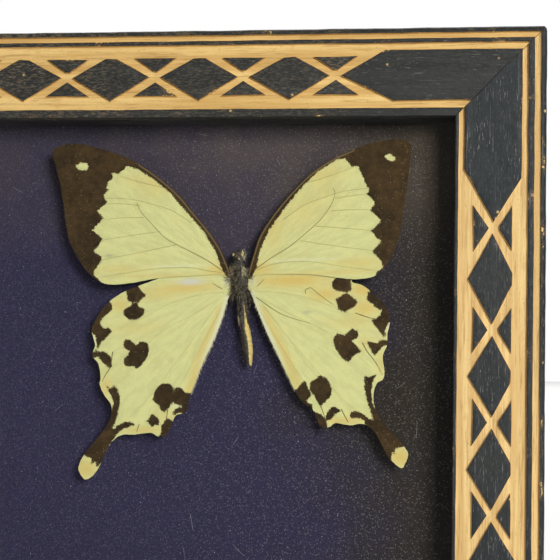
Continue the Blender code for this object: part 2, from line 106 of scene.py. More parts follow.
class Workpiece:
    """One mesh object at the bench, always picked alone before a tool is used on it."""

    def __init__(self, obj: bpy.types.Object) -> None:
        """Takes the object that is shaped."""
        self.obj = obj

    @classmethod
    def from_primitive(cls, name: str, add: Callable, **settings: object) -> "Workpiece":
        """Adds a primitive, with its place in its mesh, and takes it to the bench.

        Args:
            name: the piece's name.
            add: the operator under bpy.ops.mesh that adds the primitive.
            settings: the operator's own settings.

        Returns:
            The workpiece.
        """
        bpy.ops.object.select_all(action="DESELECT")
        add(**settings)
        bpy.ops.object.transform_apply(location=True, rotation=True, scale=True)
        obj = bpy.context.object
        obj.name = name
        obj.data.name = name
        return cls(obj)

    @classmethod
    def from_node(cls, name: str, node: str) -> "Workpiece":
        """A welded copy of a CAD node, with its flat faces made whole again.

        Args:
            name: the piece's name.
            node: the CAD node that is copied.

        Returns:
            The workpiece.
        """
        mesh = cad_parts[node].data.copy()
        mesh.name = name
        mesh.materials.clear()
        obj = bpy.data.objects.new(name, mesh)
        bpy.context.scene.collection.objects.link(obj)
        piece = cls(obj)
        piece.edit()
        bpy.ops.mesh.customdata_custom_splitnormals_clear()
        bpy.ops.mesh.remove_doubles(threshold=WELD)
        bpy.ops.mesh.dissolve_limited(angle_limit=STILL_FLAT)
        piece.done()
        return piece

    def pick_alone(self) -> None:
        """Selects only this object and makes it the active one."""
        bpy.ops.object.select_all(action="DESELECT")
        self.obj.select_set(True)
        bpy.context.view_layer.objects.active = self.obj

    def edit(self) -> None:
        """Enters edit mode with everything selected."""
        self.pick_alone()
        bpy.ops.object.mode_set(mode="EDIT")
        bpy.ops.mesh.select_mode(type="VERT")
        bpy.ops.mesh.select_all(action="SELECT")

    def done(self) -> None:
        """Leaves edit mode."""
        bpy.ops.object.mode_set(mode="OBJECT")

    def pick_edges(self, wanted: Callable) -> None:
        """Selects the edges that pass a test, in edit mode.

        Args:
            wanted: says of a bmesh edge whether it is wanted.
        """
        bpy.ops.mesh.select_mode(type="EDGE")
        bpy.ops.mesh.select_all(action="DESELECT")
        shape = bmesh.from_edit_mesh(self.obj.data)
        for edge in [edge for edge in shape.edges if wanted(edge)]:
            edge.select = True
        bmesh.update_edit_mesh(self.obj.data)

    def shift_points(self, wanted: Callable, move: Sequence[float]) -> None:
        """Moves the points that pass a test, in edit mode.

        Args:
            wanted: says of a place whether its point is wanted.
            move: how far they move.
        """
        bpy.ops.mesh.select_mode(type="VERT")
        bpy.ops.mesh.select_all(action="DESELECT")
        shape = bmesh.from_edit_mesh(self.obj.data)
        for point in [point for point in shape.verts if wanted(point.co)]:
            point.select = True
        bmesh.update_edit_mesh(self.obj.data)
        bpy.ops.transform.translate(value=move)

    def slice_across(self, axis: int, places: Iterable[float]) -> None:
        """Cuts the mesh with planes square to one axis, in edit mode.

        Args:
            axis: 0, 1 or 2 for X, Y or Z.
            places: where along the axis the planes stand.
        """
        normal = [0.0, 0.0, 0.0]
        normal[axis] = 1.0
        for place in places:
            where = [0.0, 0.0, 0.0]
            where[axis] = place
            bpy.ops.mesh.select_all(action="SELECT")
            bpy.ops.mesh.bisect(plane_co=where, plane_no=normal, threshold=NEVER_CUT)

    def modify(self, kind: str, **settings: object) -> None:
        """Adds a modifier and applies it.

        Args:
            kind: the modifier's type.
            settings: its settings.
        """
        self.pick_alone()
        bpy.ops.object.modifier_add(type=kind)
        modifier = self.obj.modifiers[-1]
        for name, value in settings.items():
            setattr(modifier, name, value)
        bpy.ops.object.modifier_apply(modifier=modifier.name)

    def raise_by(self, shares: np.ndarray, height: float, direction: str) -> None:
        """Lifts each point by its share of a height.

        Args:
            shares: one number from 0 to 1 for each point.
            height: the height of a full share.
            direction: X, Y, Z or NORMAL.
        """
        group = self.obj.vertex_groups.new(name="raised")
        for index, share in enumerate(shares):
            group.add([index], float(share), "REPLACE")
        self.modify(
            "DISPLACE", vertex_group="raised", strength=height, mid_level=0.0, direction=direction
        )
        self.obj.vertex_groups.clear()

    def points(self) -> np.ndarray:
        """Every point's place, one row each."""
        places = np.empty(len(self.obj.data.vertices) * 3)
        self.obj.data.vertices.foreach_get("co", places)
        return places.reshape(-1, 3)

    def keep(self, name: str, values: np.ndarray) -> None:
        """Stores one number for each point under a name that materials read."""
        kept = self.obj.data.attributes.new(name, "FLOAT", "POINT")
        kept.data.foreach_set("value", values.astype(np.float32))

    def place(self, matrix: Matrix) -> None:
        """Moves the mesh, not the object, and turns its faces outwards again if it was mirrored."""
        self.obj.data.transform(matrix)
        if matrix.determinant() < 0:
            self.obj.data.flip_normals()

    def smooth(self, degrees: float = 35.0) -> None:
        """Shades it smooth but for edges sharper than the angle."""
        self.pick_alone()
        bpy.ops.object.shade_smooth_by_angle(angle=math.radians(degrees))

    def take_in(self, other: "Workpiece") -> None:
        """Joins another piece's mesh to this one."""
        bpy.ops.object.select_all(action="DESELECT")
        other.obj.select_set(True)
        self.obj.select_set(True)
        bpy.context.view_layer.objects.active = self.obj
        bpy.ops.object.join()

    def deliver(self, slot: str, materials: Sequence[Material], *nodes: str) -> None:
        """Dresses the finished piece and mounts it on the frame.

        Args:
            slot: the record's material slot; not used.
            materials: its materials, in the order of the mesh's own indices.
            nodes: the CAD nodes that it stands for.
        """
        self.obj.data.materials.clear()
        for material in materials:
            self.obj.data.materials.append(material)
        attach(self.obj, "root")
        if nodes:
            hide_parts(*nodes)
        log.info("%s: %d faces", self.obj.name, len(self.obj.data.polygons))


def mesh_from(name: str, points: np.ndarray, faces: list) -> Workpiece:
    """A piece from points and faces that were stamped in code."""
    mesh = bpy.data.meshes.new(name)
    mesh.from_pydata(points.tolist(), [], faces)
    obj = bpy.data.objects.new(name, mesh)
    bpy.context.scene.collection.objects.link(obj)
    return Workpiece(obj)


class Stamp:
    """A small shape modelled once, and copied many times into one mesh."""

    def __init__(self, model: Workpiece) -> None:
        """Takes the model's points and faces, and clears the model away."""
        self.points = model.points()
        self.faces = [tuple(face.vertices) for face in model.obj.data.polygons]
        bpy.data.objects.remove(model.obj)
        self.copies: list[np.ndarray] = []
        self.marks: list[float] = []

    def press(self, matrix: Matrix, mark: float = 0.0) -> None:
        """Adds one copy, placed by the matrix, whose points all carry the mark."""
        turned = np.array(matrix)
        self.copies.append(self.points @ turned[:3, :3].T + turned[:3, 3])
        self.marks.append(mark)

    def piece(self, name: str, attribute: str) -> Workpiece:
        """All the copies as one piece, with the marks kept under the attribute's name."""
        count = len(self.points)
        faces = []
        for copy in range(len(self.copies)):
            faces += [tuple(copy * count + corner for corner in face) for face in self.faces]
        piece = mesh_from(name, np.concatenate(self.copies), faces)
        piece.keep(attribute, np.repeat(np.array(self.marks), count))
        return piece


# --- Flat shapes in millimetres ---


def rounded(shape: Shape, steps: int = 4, closed: bool = True) -> np.ndarray:
    """A smooth curve through the points of a shape.

    Args:
        shape: the points.
        steps: how many parts each stretch is given.
        closed: whether it comes back to its first point.

    Returns:
        The points of the curve, one row each.
    """
    points = np.array(shape, float)
    if closed:
        around = np.vstack([points[-1], points, points[:2]])
    else:
        around = np.vstack([2 * points[0] - points[1], points, 2 * points[-1] - points[-2]])
    curve = []
    for index in range(1, len(around) - 2):
        before, start, end, after = around[index - 1 : index + 3]
        for step in range(steps):
            t = step / steps
            curve.append(
                0.5
                * (
                    2 * start
                    + (end - before) * t
                    + (2 * before - 5 * start + 4 * end - after) * t * t
                    + (3 * start - before - 3 * end + after) * t**3
                )
            )
    if not closed:
        curve.append(points[-1])
    return np.array(curve)


def distance_to_line(points: np.ndarray, line: np.ndarray) -> np.ndarray:
    """How far each point is from a line of straight stretches."""
    start, end = line[:-1], line[1:]
    run = end - start
    length = np.maximum((run**2).sum(1), 1e-12)
    best = np.full(len(points), np.inf)
    for one, way, square in zip(start, run, length):
        share = np.clip(((points - one) @ way) / square, 0, 1)
        gap = points - one - share[:, None] * way
        best = np.minimum(best, np.hypot(gap[:, 0], gap[:, 1]))
    return best


def gap_to(points: np.ndarray, *lines: Shape) -> np.ndarray:
    """How far each point is from the nearest of several lines, each made a smooth open curve."""
    nearest = np.full(len(points), np.inf)
    for line in lines:
        nearest = np.minimum(nearest, distance_to_line(points, rounded(line, 4, closed=False)))
    return nearest


def depth_inside(points: np.ndarray, outline: np.ndarray) -> np.ndarray:
    """How far inside a closed outline each point is, and below zero outside it."""
    ring = np.vstack([outline, outline[:1]])
    inside = np.zeros(len(points), bool)
    for (ax, ay), (bx, by) in zip(ring[:-1], ring[1:]):
        crosses = (ay > points[:, 1]) != (by > points[:, 1])
        if ay != by:
            inside ^= crosses & (points[:, 0] < (bx - ax) * (points[:, 1] - ay) / (by - ay) + ax)
    gap = distance_to_line(points, ring)
    return np.where(inside, gap, -gap)


def soft_spot(points: np.ndarray, centre: Point, reach: Point) -> np.ndarray:
    """A soft round spot: 1 at its centre, and near 0 at twice its reach."""
    offset = (points - np.array(centre)) / np.array(reach)
    return np.exp(-(offset**2).sum(1))


# --- Materials ---


class Graph:
    """A node tree that is being wired."""

    def __init__(self, tree: Tree) -> None:
        """Takes the tree."""
        self.tree = tree

    def add(self, kind: str, **settings: object) -> Node:
        """A new node with the given settings."""
        node = self.tree.nodes.new(kind)
        for name, value in settings.items():
            setattr(node, name, value)
        return node

    def feed(self, socket: Socket, value: Value) -> None:
        """Links a socket to another's output, or gives it a plain value."""
        if isinstance(value, Socket):
            self.tree.links.new(value, socket)
        elif socket.type == "RGBA" and len(value) == 3:
            socket.default_value = (*value, 1.0)
        else:
            socket.default_value = value

    def millimetres(self) -> Socket:
        """The object's own coordinates in millimetres."""
        scaled = self.add("ShaderNodeVectorMath", operation="SCALE")
        self.feed(scaled.inputs[0], self.add("ShaderNodeTexCoord").outputs["Object"])
        scaled.inputs["Scale"].default_value = 1 / MM
        return scaled.outputs[0]

    def math(self, operation: str, first: Value, second: Value = 0.0) -> Socket:
        """One sum on two numbers, such as ADD, MULTIPLY, MAXIMUM or LESS_THAN."""
        node = self.add("ShaderNodeMath", operation=operation)
        self.feed(node.inputs[0], first)
        self.feed(node.inputs[1], second)
        return node.outputs[0]

    def plus(self, first: Value, second: Value) -> Socket:
        """Two numbers added."""
        return self.math("ADD", first, second)

    def minus(self, first: Value, second: Value) -> Socket:
        """The first number less the second."""
        return self.math("SUBTRACT", first, second)

    def times(self, first: Value, second: Value) -> Socket:
        """Two numbers multiplied."""
        return self.math("MULTIPLY", first, second)

    def noise(
        self, vector: Value, per_mm: float, detail: float = 3.0, roughness: float = 0.55
    ) -> Socket:
        """Soft noise with so many lumps to the millimetre."""
        node = self.add("ShaderNodeTexNoise")
        self.feed(node.inputs["Vector"], vector)
        node.inputs["Scale"].default_value = per_mm
        node.inputs["Detail"].default_value = detail
        node.inputs["Roughness"].default_value = roughness
        return node.outputs[0]

    def swing(
        self, vector: Value, per_mm: float, reach: float, detail: float = 3.0,
        roughness: float = 0.55,
    ) -> Socket:
        """Noise about zero, scaled by its reach."""
        return self.times(self.minus(self.noise(vector, per_mm, detail, roughness), 0.5), reach)

    def specks(self, vector: Value, scale: float, size: float, share: float) -> Socket:
        """Where the specks of a speck field lie."""
        given = {"Vector": vector, "Scale": scale, "Size": size, "Share": share}
        return self.effect(speck_field(), **given)["Mask"]

    def ramp(
        self, value: Value, low: float, high: float, start: float = 0.0, end: float = 1.0
    ) -> Socket:
        """A smooth step from start, at low, to end, at high."""
        node = self.add("ShaderNodeMapRange", interpolation_type="SMOOTHSTEP")
        self.feed(node.inputs["Value"], value)
        limits = {"From Min": low, "From Max": high, "To Min": start, "To Max": end}
        for name, number in limits.items():
            node.inputs[name].default_value = number
        return node.outputs["Result"]

    def blend(self, share: Value, first: Value, second: Value) -> Socket:
        """The first colour where the share is 0, and the second where it is 1."""
        node = self.add("ShaderNodeMix", data_type="RGBA")
        self.feed(node.inputs[0], share)
        self.feed(node.inputs[6], first)
        self.feed(node.inputs[7], second)
        return node.outputs[2]

    def lay(self, colour: Value, mask: Value, strength: Value, over: Value) -> Socket:
        """The colour with another laid over it where the mask is 1, at the strength."""
        return self.blend(self.times(mask, strength), colour, over)

    def shade(self, share: Value, colour: Value, low: float, high: float) -> Socket:
        """The colour made darker or lighter, from low times it to high times it."""
        level = self.ramp(share, 0.0, 1.0, low, high)
        node = self.add("ShaderNodeVectorMath", operation="SCALE")
        self.feed(node.inputs[0], colour)
        self.feed(node.inputs["Scale"], level)
        return node.outputs[0]

    def mapped(
        self, vector: Value, scale: Sequence[float] = (1, 1, 1), turn: Sequence[float] = (0, 0, 0)
    ) -> Socket:
        """The vector turned and scaled."""
        node = self.add("ShaderNodeMapping")
        self.feed(node.inputs["Vector"], vector)
        node.inputs["Rotation"].default_value = turn
        node.inputs["Scale"].default_value = scale
        return node.outputs[0]

    def kept(self, name: str) -> Socket:
        """A number that the mesh keeps at each point."""
        return self.add("ShaderNodeAttribute", attribute_name=name).outputs["Fac"]

    def split(self, vector: Value) -> Outputs:
        """The three parts of a vector."""
        node = self.add("ShaderNodeSeparateXYZ")
        self.feed(node.inputs[0], vector)
        return node.outputs

    def effect(self, tree: Tree, **values: Value) -> Outputs:
        """Places a shared group with its own values."""
        node = self.add("ShaderNodeGroup", node_tree=tree)
        for name, value in values.items():
            self.feed(node.inputs[name], value)
        return node.outputs

    def bump(self, shader: Node, height: Value, strength: float, depth: float) -> None:
        """Gives the shader a fine relief.

        Args:
            shader: the Principled BSDF.
            height: the relief.
            strength: how much of it shows.
            depth: what a height of 1 stands for.
        """
        node = self.add("ShaderNodeBump")
        self.feed(node.inputs["Height"], height)
        node.inputs["Strength"].default_value = strength
        node.inputs["Distance"].default_value = depth
        self.feed(shader.inputs["Normal"], node.outputs[0])


def new_group(
    name: str, inputs: dict[str, str], outputs: Sequence[str]
) -> tuple[Graph, Outputs, bpy.types.NodeInputs]:
    """An empty shader node group.

    Args:
        name: the group's name.
        inputs: the kind of each input, Float or Vector, by its name.
        outputs: the names of the outputs, all numbers.

    Returns:
        The group's graph, the inputs to read and the outputs to feed.
    """
    tree = bpy.data.node_groups.new(name, "ShaderNodeTree")
    for label, kind in inputs.items():
        tree.interface.new_socket(name=label, in_out="INPUT", socket_type=f"NodeSocket{kind}")
    for label in outputs:
        tree.interface.new_socket(name=label, in_out="OUTPUT", socket_type="NodeSocketFloat")
    graph = Graph(tree)
    return graph, graph.add("NodeGroupInput").outputs, graph.add("NodeGroupOutput").inputs


@functools.cache
def speck_field() -> Tree:
    """Scattered round specks. Scale is specks to the millimetre, Size a share of their spacing."""
    graph, given, result = new_group(
        "speck_field",
        {"Vector": "Vector", "Scale": "Float", "Size": "Float", "Share": "Float"},
        ("Mask",),
    )
    cells = graph.add("ShaderNodeTexVoronoi")
    graph.feed(cells.inputs["Vector"], given["Vector"])
    graph.feed(cells.inputs["Scale"], given["Scale"])
    luck = graph.split(cells.outputs["Color"])
    reach = graph.times(given["Size"], graph.plus(luck[1], 0.35))
    spot = graph.ramp(graph.minus(reach, cells.outputs["Distance"]), 0.0, 0.12)
    chosen = graph.math("LESS_THAN", luck[0], given["Share"])
    graph.feed(result["Mask"], graph.times(spot, chosen))
    return graph.tree


@functools.cache
def wood_grain() -> Tree:
    """Wood with its grain along X: broad streaks, fine dark lines and short pores."""
    graph, given, result = new_group("wood_grain", {"Vector": "Vector"}, ("Streak", "Line", "Pore"))
    broad = graph.mapped(given["Vector"], scale=(0.035, 1, 1))
    fine = graph.mapped(given["Vector"], scale=(0.05, 1, 1))
    short = graph.mapped(given["Vector"], scale=(0.3, 1, 1))
    graph.feed(result["Streak"], graph.noise(broad, 0.45, 4.0, 0.6))
    graph.feed(result["Line"], graph.ramp(graph.noise(fine, 2.2, 3.0, 0.6), 0.52, 0.68))
    graph.feed(result["Pore"], graph.ramp(graph.noise(short, 3.4, 2.0, 0.6), 0.64, 0.74))
    return graph.tree


@functools.cache
def edge_wear() -> Tree:
    """Where a finish has rubbed off near an edge. Edge and Reach are millimetres."""
    graph, given, result = new_group(
        "edge_wear",
        {"Vector": "Vector", "Edge": "Float", "Reach": "Float", "Amount": "Float"},
        ("Mask",),
    )
    patches = graph.noise(given["Vector"], 0.16, 2.0, 0.5)
    ragged = graph.noise(given["Vector"], 1.6, 4.0, 0.65)
    chance = graph.plus(graph.times(patches, 0.6), graph.times(ragged, 0.4))
    over = graph.minus(graph.plus(chance, given["Amount"]), 1.0)
    reach = graph.times(graph.times(over, 10.0), given["Reach"])
    graph.feed(result["Mask"], graph.ramp(graph.minus(reach, given["Edge"]), 0.0, 0.08))
    return graph.tree


@dataclass(frozen=True)
class Finish:
    """One finish: its name and the values that are the same all over it."""

    name: str
    roughness: float = 0.6
    metallic: float = 0.0
    specular: float = 0.5

    def material(self) -> Material:
        """The finish as a material."""
        made = bpy.data.materials.new(self.name)
        made.use_nodes = True
        made.node_tree.nodes.clear()
        graph = Graph(made.node_tree)
        shader = graph.add("ShaderNodeBsdfPrincipled")
        shader.inputs["Roughness"].default_value = self.roughness
        shader.inputs["Metallic"].default_value = self.metallic
        shader.inputs["Specular IOR Level"].default_value = self.specular
        output = graph.add("ShaderNodeOutputMaterial")
        graph.feed(output.inputs["Surface"], shader.outputs[0])
        self.dress(graph, shader, output)
        return made

    def dress(self, graph: Graph, shader: Node, output: Node) -> None:
        """Wires the finish's own pattern.

        Args:
            graph: the material's graph.
            shader: its Principled BSDF.
            output: its output node.
        """
        raise NotImplementedError


@dataclass(frozen=True)
class PaintedWood(Finish):
    """Thin black paint over pale wood, carved through in the recesses and rubbed on the edges."""

    specular: float = 0.16
    grain: Grain = Grain.ALONG_X
    bright: Colour = (0.80, 0.56, 0.215)
    honey: Colour = (0.62, 0.385, 0.125)
    stain_and_shade: Colour = (0.31, 0.15, 0.042)
    paint: Colour = (0.0235, 0.0255, 0.0235)
    thin_paint: Colour = (0.050, 0.053, 0.052)
    pit: Colour = (0.05, 0.025, 0.01)
    scratch_and_sheen: Colour = (0.27, 0.265, 0.24)
    scar: Colour = (0.17, 0.13, 0.085)
    rubbed_paint: Colour = (0.15, 0.10, 0.05)
    scuffs_and_sheen: float = 0.42
    cut_depth: float = 0.13
    scarring: float = 0.8
    middle: float = 0.0
    lattice_half: float = 50.0
    relief: float = 0.12 * MM

    def dress(self, graph: Graph, shader: Node, output: Node) -> None:
        """Wires wood, paint, wear and scratches, with painted shade on the bare wood by the cut
        walls and painted sheen in the upright rails' light streaks.
        """
        place = graph.millimetres()
        along = graph.mapped(place, turn=(0, self.grain.value, 0))
        wood = graph.effect(wood_grain(), Vector=along)
        edge = graph.kept("edge")
        bare = graph.kept("bare")

        timber = graph.blend(graph.ramp(wood["Streak"], 0.36, 0.62), self.bright, self.honey)
        timber = graph.lay(timber, wood["Line"], 0.45, self.stain_and_shade)
        timber = graph.lay(timber, wood["Pore"], 0.55, self.stain_and_shade)
        blotch = graph.ramp(graph.noise(place, 0.3, 3.0), 0.55, 0.75, 0.0, 0.5)
        timber = graph.blend(blotch, timber, self.honey)
        # Painted shade, partly real grime: the bare wood darkens close to the cut walls, where the
        # walls shade the recess floor.
        near_cut_walls = graph.ramp(edge, 0.2, 0.75, 1.0, 0.0)
        grime_and_wall_shade = graph.plus(near_cut_walls, graph.noise(place, 1.3, 3.0))
        timber = graph.blend(graph.ramp(grime_and_wall_shade, 1.15, 1.7, 0.0, 0.45), timber, self.stain_and_shade)
        pits = graph.specks(place, 0.22, 0.12, 0.09)
        timber = graph.lay(timber, pits, 0.8, self.pit)

        brushed = graph.times(graph.ramp(wood["Streak"], 0.42, 0.75), 0.35)
        coat = graph.blend(brushed, self.paint, self.thin_paint)
        # Light streaks along the grain: scratches, which on the upright rails also stand for
        # painted sheen where light rakes across the grain.
        short = graph.noise(graph.mapped(along, scale=(0.11, 1, 1)), 4.2, 2.0, 0.7)
        long = graph.noise(graph.mapped(along, scale=(0.02, 1, 1)), 3.1, 2.0, 0.7)
        marks = graph.math("MAXIMUM", graph.ramp(short, 0.61, 0.70), graph.ramp(long, 0.65, 0.74))
        rubbed = graph.ramp(graph.noise(place, 0.10, 2.0), 0.40, 0.62, 0.35, 1.0)
        scratch_and_sheen = graph.times(graph.times(marks, rubbed), self.scuffs_and_sheen)
        coat = graph.blend(scratch_and_sheen, coat, self.scratch_and_sheen)
        dusty = graph.ramp(graph.noise(place, 4.5, 4.0, 0.7), 0.6, 0.8, 0.0, 0.35)
        coat = graph.blend(dusty, coat, self.thin_paint)

        patch = graph.ramp(graph.noise(place, 0.055, 1.0), 0.40, 0.56, 0.45, 1.0)
        crazed = graph.noise(graph.mapped(along, scale=(0.3, 1, 1)), 2.4, 4.0, 0.75)
        scarred = graph.times(patch, graph.ramp(crazed, 0.46, 0.62, 0.0, self.scarring))
        run = graph.minus(graph.math("ABSOLUTE", graph.split(along)[0]), self.middle)
        run = graph.math("ABSOLUTE", run)
        ends = graph.ramp(run, self.lattice_half - 4, self.lattice_half + 4, 1.0, 0.12)
        scarred = graph.times(scarred, ends)
        coat = graph.blend(scarred, coat, self.scar)
        nicks = graph.specks(place, 0.26, 0.11, 0.22)
        coat = graph.lay(coat, nicks, 0.85, self.bright)

        worn = graph.effect(edge_wear(), Vector=place, Edge=edge, Reach=0.40, Amount=0.395)
        thin = graph.effect(edge_wear(), Vector=place, Edge=edge, Reach=0.8, Amount=0.45)
        coat = graph.lay(coat, thin["Mask"], 0.45, self.rubbed_paint)
        coat = graph.blend(worn["Mask"], coat, graph.blend(wood["Streak"], self.honey, self.bright))

        depth = graph.plus(bare, graph.swing(place, 2.4, 0.28, 4.0, 0.7))
        carved = graph.ramp(depth, self.cut_depth - 0.05, self.cut_depth + 0.05)
        back = graph.plus(graph.split(place)[1], graph.noise(place, 0.8, 3.0))
        rear = CAD_BOX[1].y / MM
        unpainted = graph.ramp(back, rear + 0.02, rear + 0.27)
        open_wood = graph.math("MAXIMUM", carved, unpainted)
        graph.feed(shader.inputs["Base Color"], graph.blend(open_wood, coat, timber))
        gloss = graph.ramp(graph.noise(place, 0.7, 4.0, 0.7), 0.3, 0.7, 0.46, 0.62)
        bare_gloss = graph.math("MAXIMUM", gloss, graph.times(open_wood, 0.72))
        graph.feed(shader.inputs["Roughness"], bare_gloss)
        relief = graph.plus(graph.times(wood["Line"], -0.6), graph.noise(along, 1.5, 4.0))
        relief = graph.minus(relief, graph.times(worn["Mask"], 0.5))
        graph.bump(shader, relief, 0.35, self.relief)


@dataclass(frozen=True)
class ClearGlass(Finish):
    """Old window glass that lamps shine through."""

    roughness: float = 0.0
    tint: Colour = (0.985, 1.0, 0.99)
    refraction: float = 1.45

    def dress(self, graph: Graph, shader: Node, output: Node) -> None:
        """Plain transmission, and open to the light's own rays."""
        graph.feed(shader.inputs["Base Color"], self.tint)
        shader.inputs["Transmission Weight"].default_value = 1.0
        shader.inputs["IOR"].default_value = self.refraction
        through = graph.add("ShaderNodeBsdfTransparent")
        graph.feed(through.inputs["Color"], self.tint)
        choice = graph.add("ShaderNodeMixShader")
        path = graph.add("ShaderNodeLightPath").outputs
        unseen = graph.math("MAXIMUM", path["Is Shadow Ray"], path["Is Diffuse Ray"])
        graph.feed(choice.inputs[0], unseen)
        graph.feed(choice.inputs[1], shader.outputs[0])
        graph.feed(choice.inputs[2], through.outputs[0])
        graph.feed(output.inputs["Surface"], choice.outputs[0])


@dataclass(frozen=True)
class Paint(Finish):
    """Plain brushed paint with a little unevenness."""

    colour: Colour = (0.02, 0.02, 0.02)
    faded: Colour = (0.05, 0.05, 0.045)
    dust: Colour = (0.25, 0.23, 0.2)

    def dress(self, graph: Graph, shader: Node, output: Node) -> None:
        """Wires brush marks and dust."""
        place = graph.millimetres()
        strokes = graph.noise(graph.mapped(place, scale=(0.15, 1, 0.15)), 1.1, 4.0, 0.65)
        colour = graph.blend(graph.ramp(strokes, 0.4, 0.72), self.colour, self.faded)
        dust = graph.specks(place, 0.9, 0.2, 0.2)
        colour = graph.lay(colour, dust, 0.4, self.dust)
        graph.feed(shader.inputs["Base Color"], colour)
        gloss = graph.ramp(strokes, 0.3, 0.7, self.roughness - 0.1, self.roughness + 0.1)
        graph.feed(shader.inputs["Roughness"], gloss)
        graph.bump(shader, strokes, 0.3, 0.1 * MM)


@dataclass(frozen=True)
class GroundPaper(Finish):
    """Flocked paper, violet that has browned to one side, with dust settled over it."""

    roughness: float = 0.95
    specular: float = 0.2
    violet: Colour = (0.030, 0.025, 0.060)
    brown: Colour = (0.030, 0.023, 0.017)
    # The haze and its spot's centre paint a lighter haze that is partly dust and partly painted
    # glare.
    haze: Colour = (0.120, 0.090, 0.066)
    fluff: Colour = (0.32, 0.295, 0.285)
    glare_and_dust_centre: tuple[float, float, float] = (20.0, 3.0, 124.0)
    fades_from: float = 20.0
    fades_to: float = 72.0
    haze_from: float = 108.0
    haze_to: float = 138.0

    def dress(self, graph: Graph, shader: Node, output: Node) -> None:
        """Wires the fading, the haze along the top (partly dust, partly painted glare) and several
        sizes of speck.
        """
        place = graph.millimetres()
        across = graph.split(place)
        wander = graph.swing(place, 0.035, 60.0)
        side = graph.plus(across[0], wander)
        browned = graph.ramp(side, self.fades_from, self.fades_to)
        colour = graph.blend(browned, self.violet, self.brown)
        pile = graph.noise(place, 3.2, 4.0, 0.75)
        colour = graph.shade(graph.ramp(pile, 0.3, 0.72), colour, 0.58, 1.55)

        # Lighter towards the top and the right, with a lighter spot near the top: partly dust,
        # partly painted glare and light.
        high = graph.plus(across[2], graph.times(wander, 0.35))
        topmost = graph.ramp(high, self.haze_from, self.haze_to)
        rightwards = graph.ramp(side, -30.0, 30.0, 0.45, 1.0)
        haze_patches = graph.ramp(graph.noise(place, 0.09, 4.0, 0.6), 0.3, 0.7, 0.55, 1.0)
        haze = graph.times(graph.times(topmost, rightwards), haze_patches)
        span = graph.add("ShaderNodeVectorMath", operation="DISTANCE")
        graph.feed(span.inputs[0], place)
        span.inputs[1].default_value = self.glare_and_dust_centre
        glare_and_dust_spot = graph.ramp(span.outputs["Value"], 5.0, 30.0, 0.42, 0.0)
        haze = graph.math("MAXIMUM", haze, glare_and_dust_spot)
        grit = graph.ramp(graph.noise(place, 2.4, 5.0, 0.8), 0.42, 0.7, 0.5, 1.0)
        colour = graph.blend(graph.times(haze, grit), colour, self.haze)

        fine = graph.specks(place, 3.1, 0.42, 0.4)
        middling = graph.specks(place, 1.5, 0.24, 0.16)
        sparse = graph.specks(place, 0.42, 0.16, 0.22)
        settled = graph.ramp(side, -60.0, 60.0, 0.14, 0.34)
        colour = graph.blend(graph.times(fine, settled), colour, self.fluff)
        colour = graph.lay(colour, middling, 0.30, self.fluff)
        colour = graph.lay(colour, sparse, 0.55, self.fluff)
        graph.feed(shader.inputs["Base Color"], colour)
        graph.bump(shader, pile, 0.5, 0.15 * MM)


@dataclass(frozen=True)
class Board(Finish):
    """Cork or hardboard: one body colour broken up by lighter and darker bits."""

    colour: Colour = (0.22, 0.12, 0.055)
    dark: Colour = (0.07, 0.035, 0.015)
    bits_per_mm: float = 0.8
    roughness: float = 0.85

    def dress(self, graph: Graph, shader: Node, output: Node) -> None:
        """Wires the bits, a mottle and darker specks."""
        place = graph.millimetres()
        bits = graph.noise(place, self.bits_per_mm, 5.0, 0.7)
        mottle = graph.noise(place, 0.06, 3.0)
        colour = graph.blend(graph.ramp(bits, 0.4, 0.68), self.colour, self.dark)
        colour = graph.shade(mottle, colour, 0.75, 1.25)
        marks = graph.specks(place, self.bits_per_mm / 2, 0.3, 0.3)
        colour = graph.lay(colour, marks, 0.35, self.dark)
        graph.feed(shader.inputs["Base Color"], colour)
        graph.bump(shader, bits, 0.5, 0.15 * MM)


@dataclass(frozen=True)
class OldMetal(Finish):
    """Metal that has dulled, with darker tarnish in patches."""

    metallic: float = 1.0
    bright: Colour = (0.6, 0.6, 0.6)
    tarnish: Colour = (0.2, 0.18, 0.15)

    def dress(self, graph: Graph, shader: Node, output: Node) -> None:
        """Wires the tarnish and fine rubbing marks."""
        place = graph.millimetres()
        patches = graph.noise(place, 0.8, 5.0, 0.65)
        colour = graph.blend(graph.ramp(patches, 0.4, 0.68), self.bright, self.tarnish)
        graph.feed(shader.inputs["Base Color"], colour)
        rubbed = graph.noise(graph.mapped(place, scale=(1, 1, 6)), 1.5, 3.0)
        graph.feed(
            shader.inputs["Roughness"],
            graph.ramp(rubbed, 0.3, 0.7, self.roughness - 0.08, self.roughness + 0.14),
        )
        graph.bump(shader, rubbed, 0.15, 0.05 * MM)


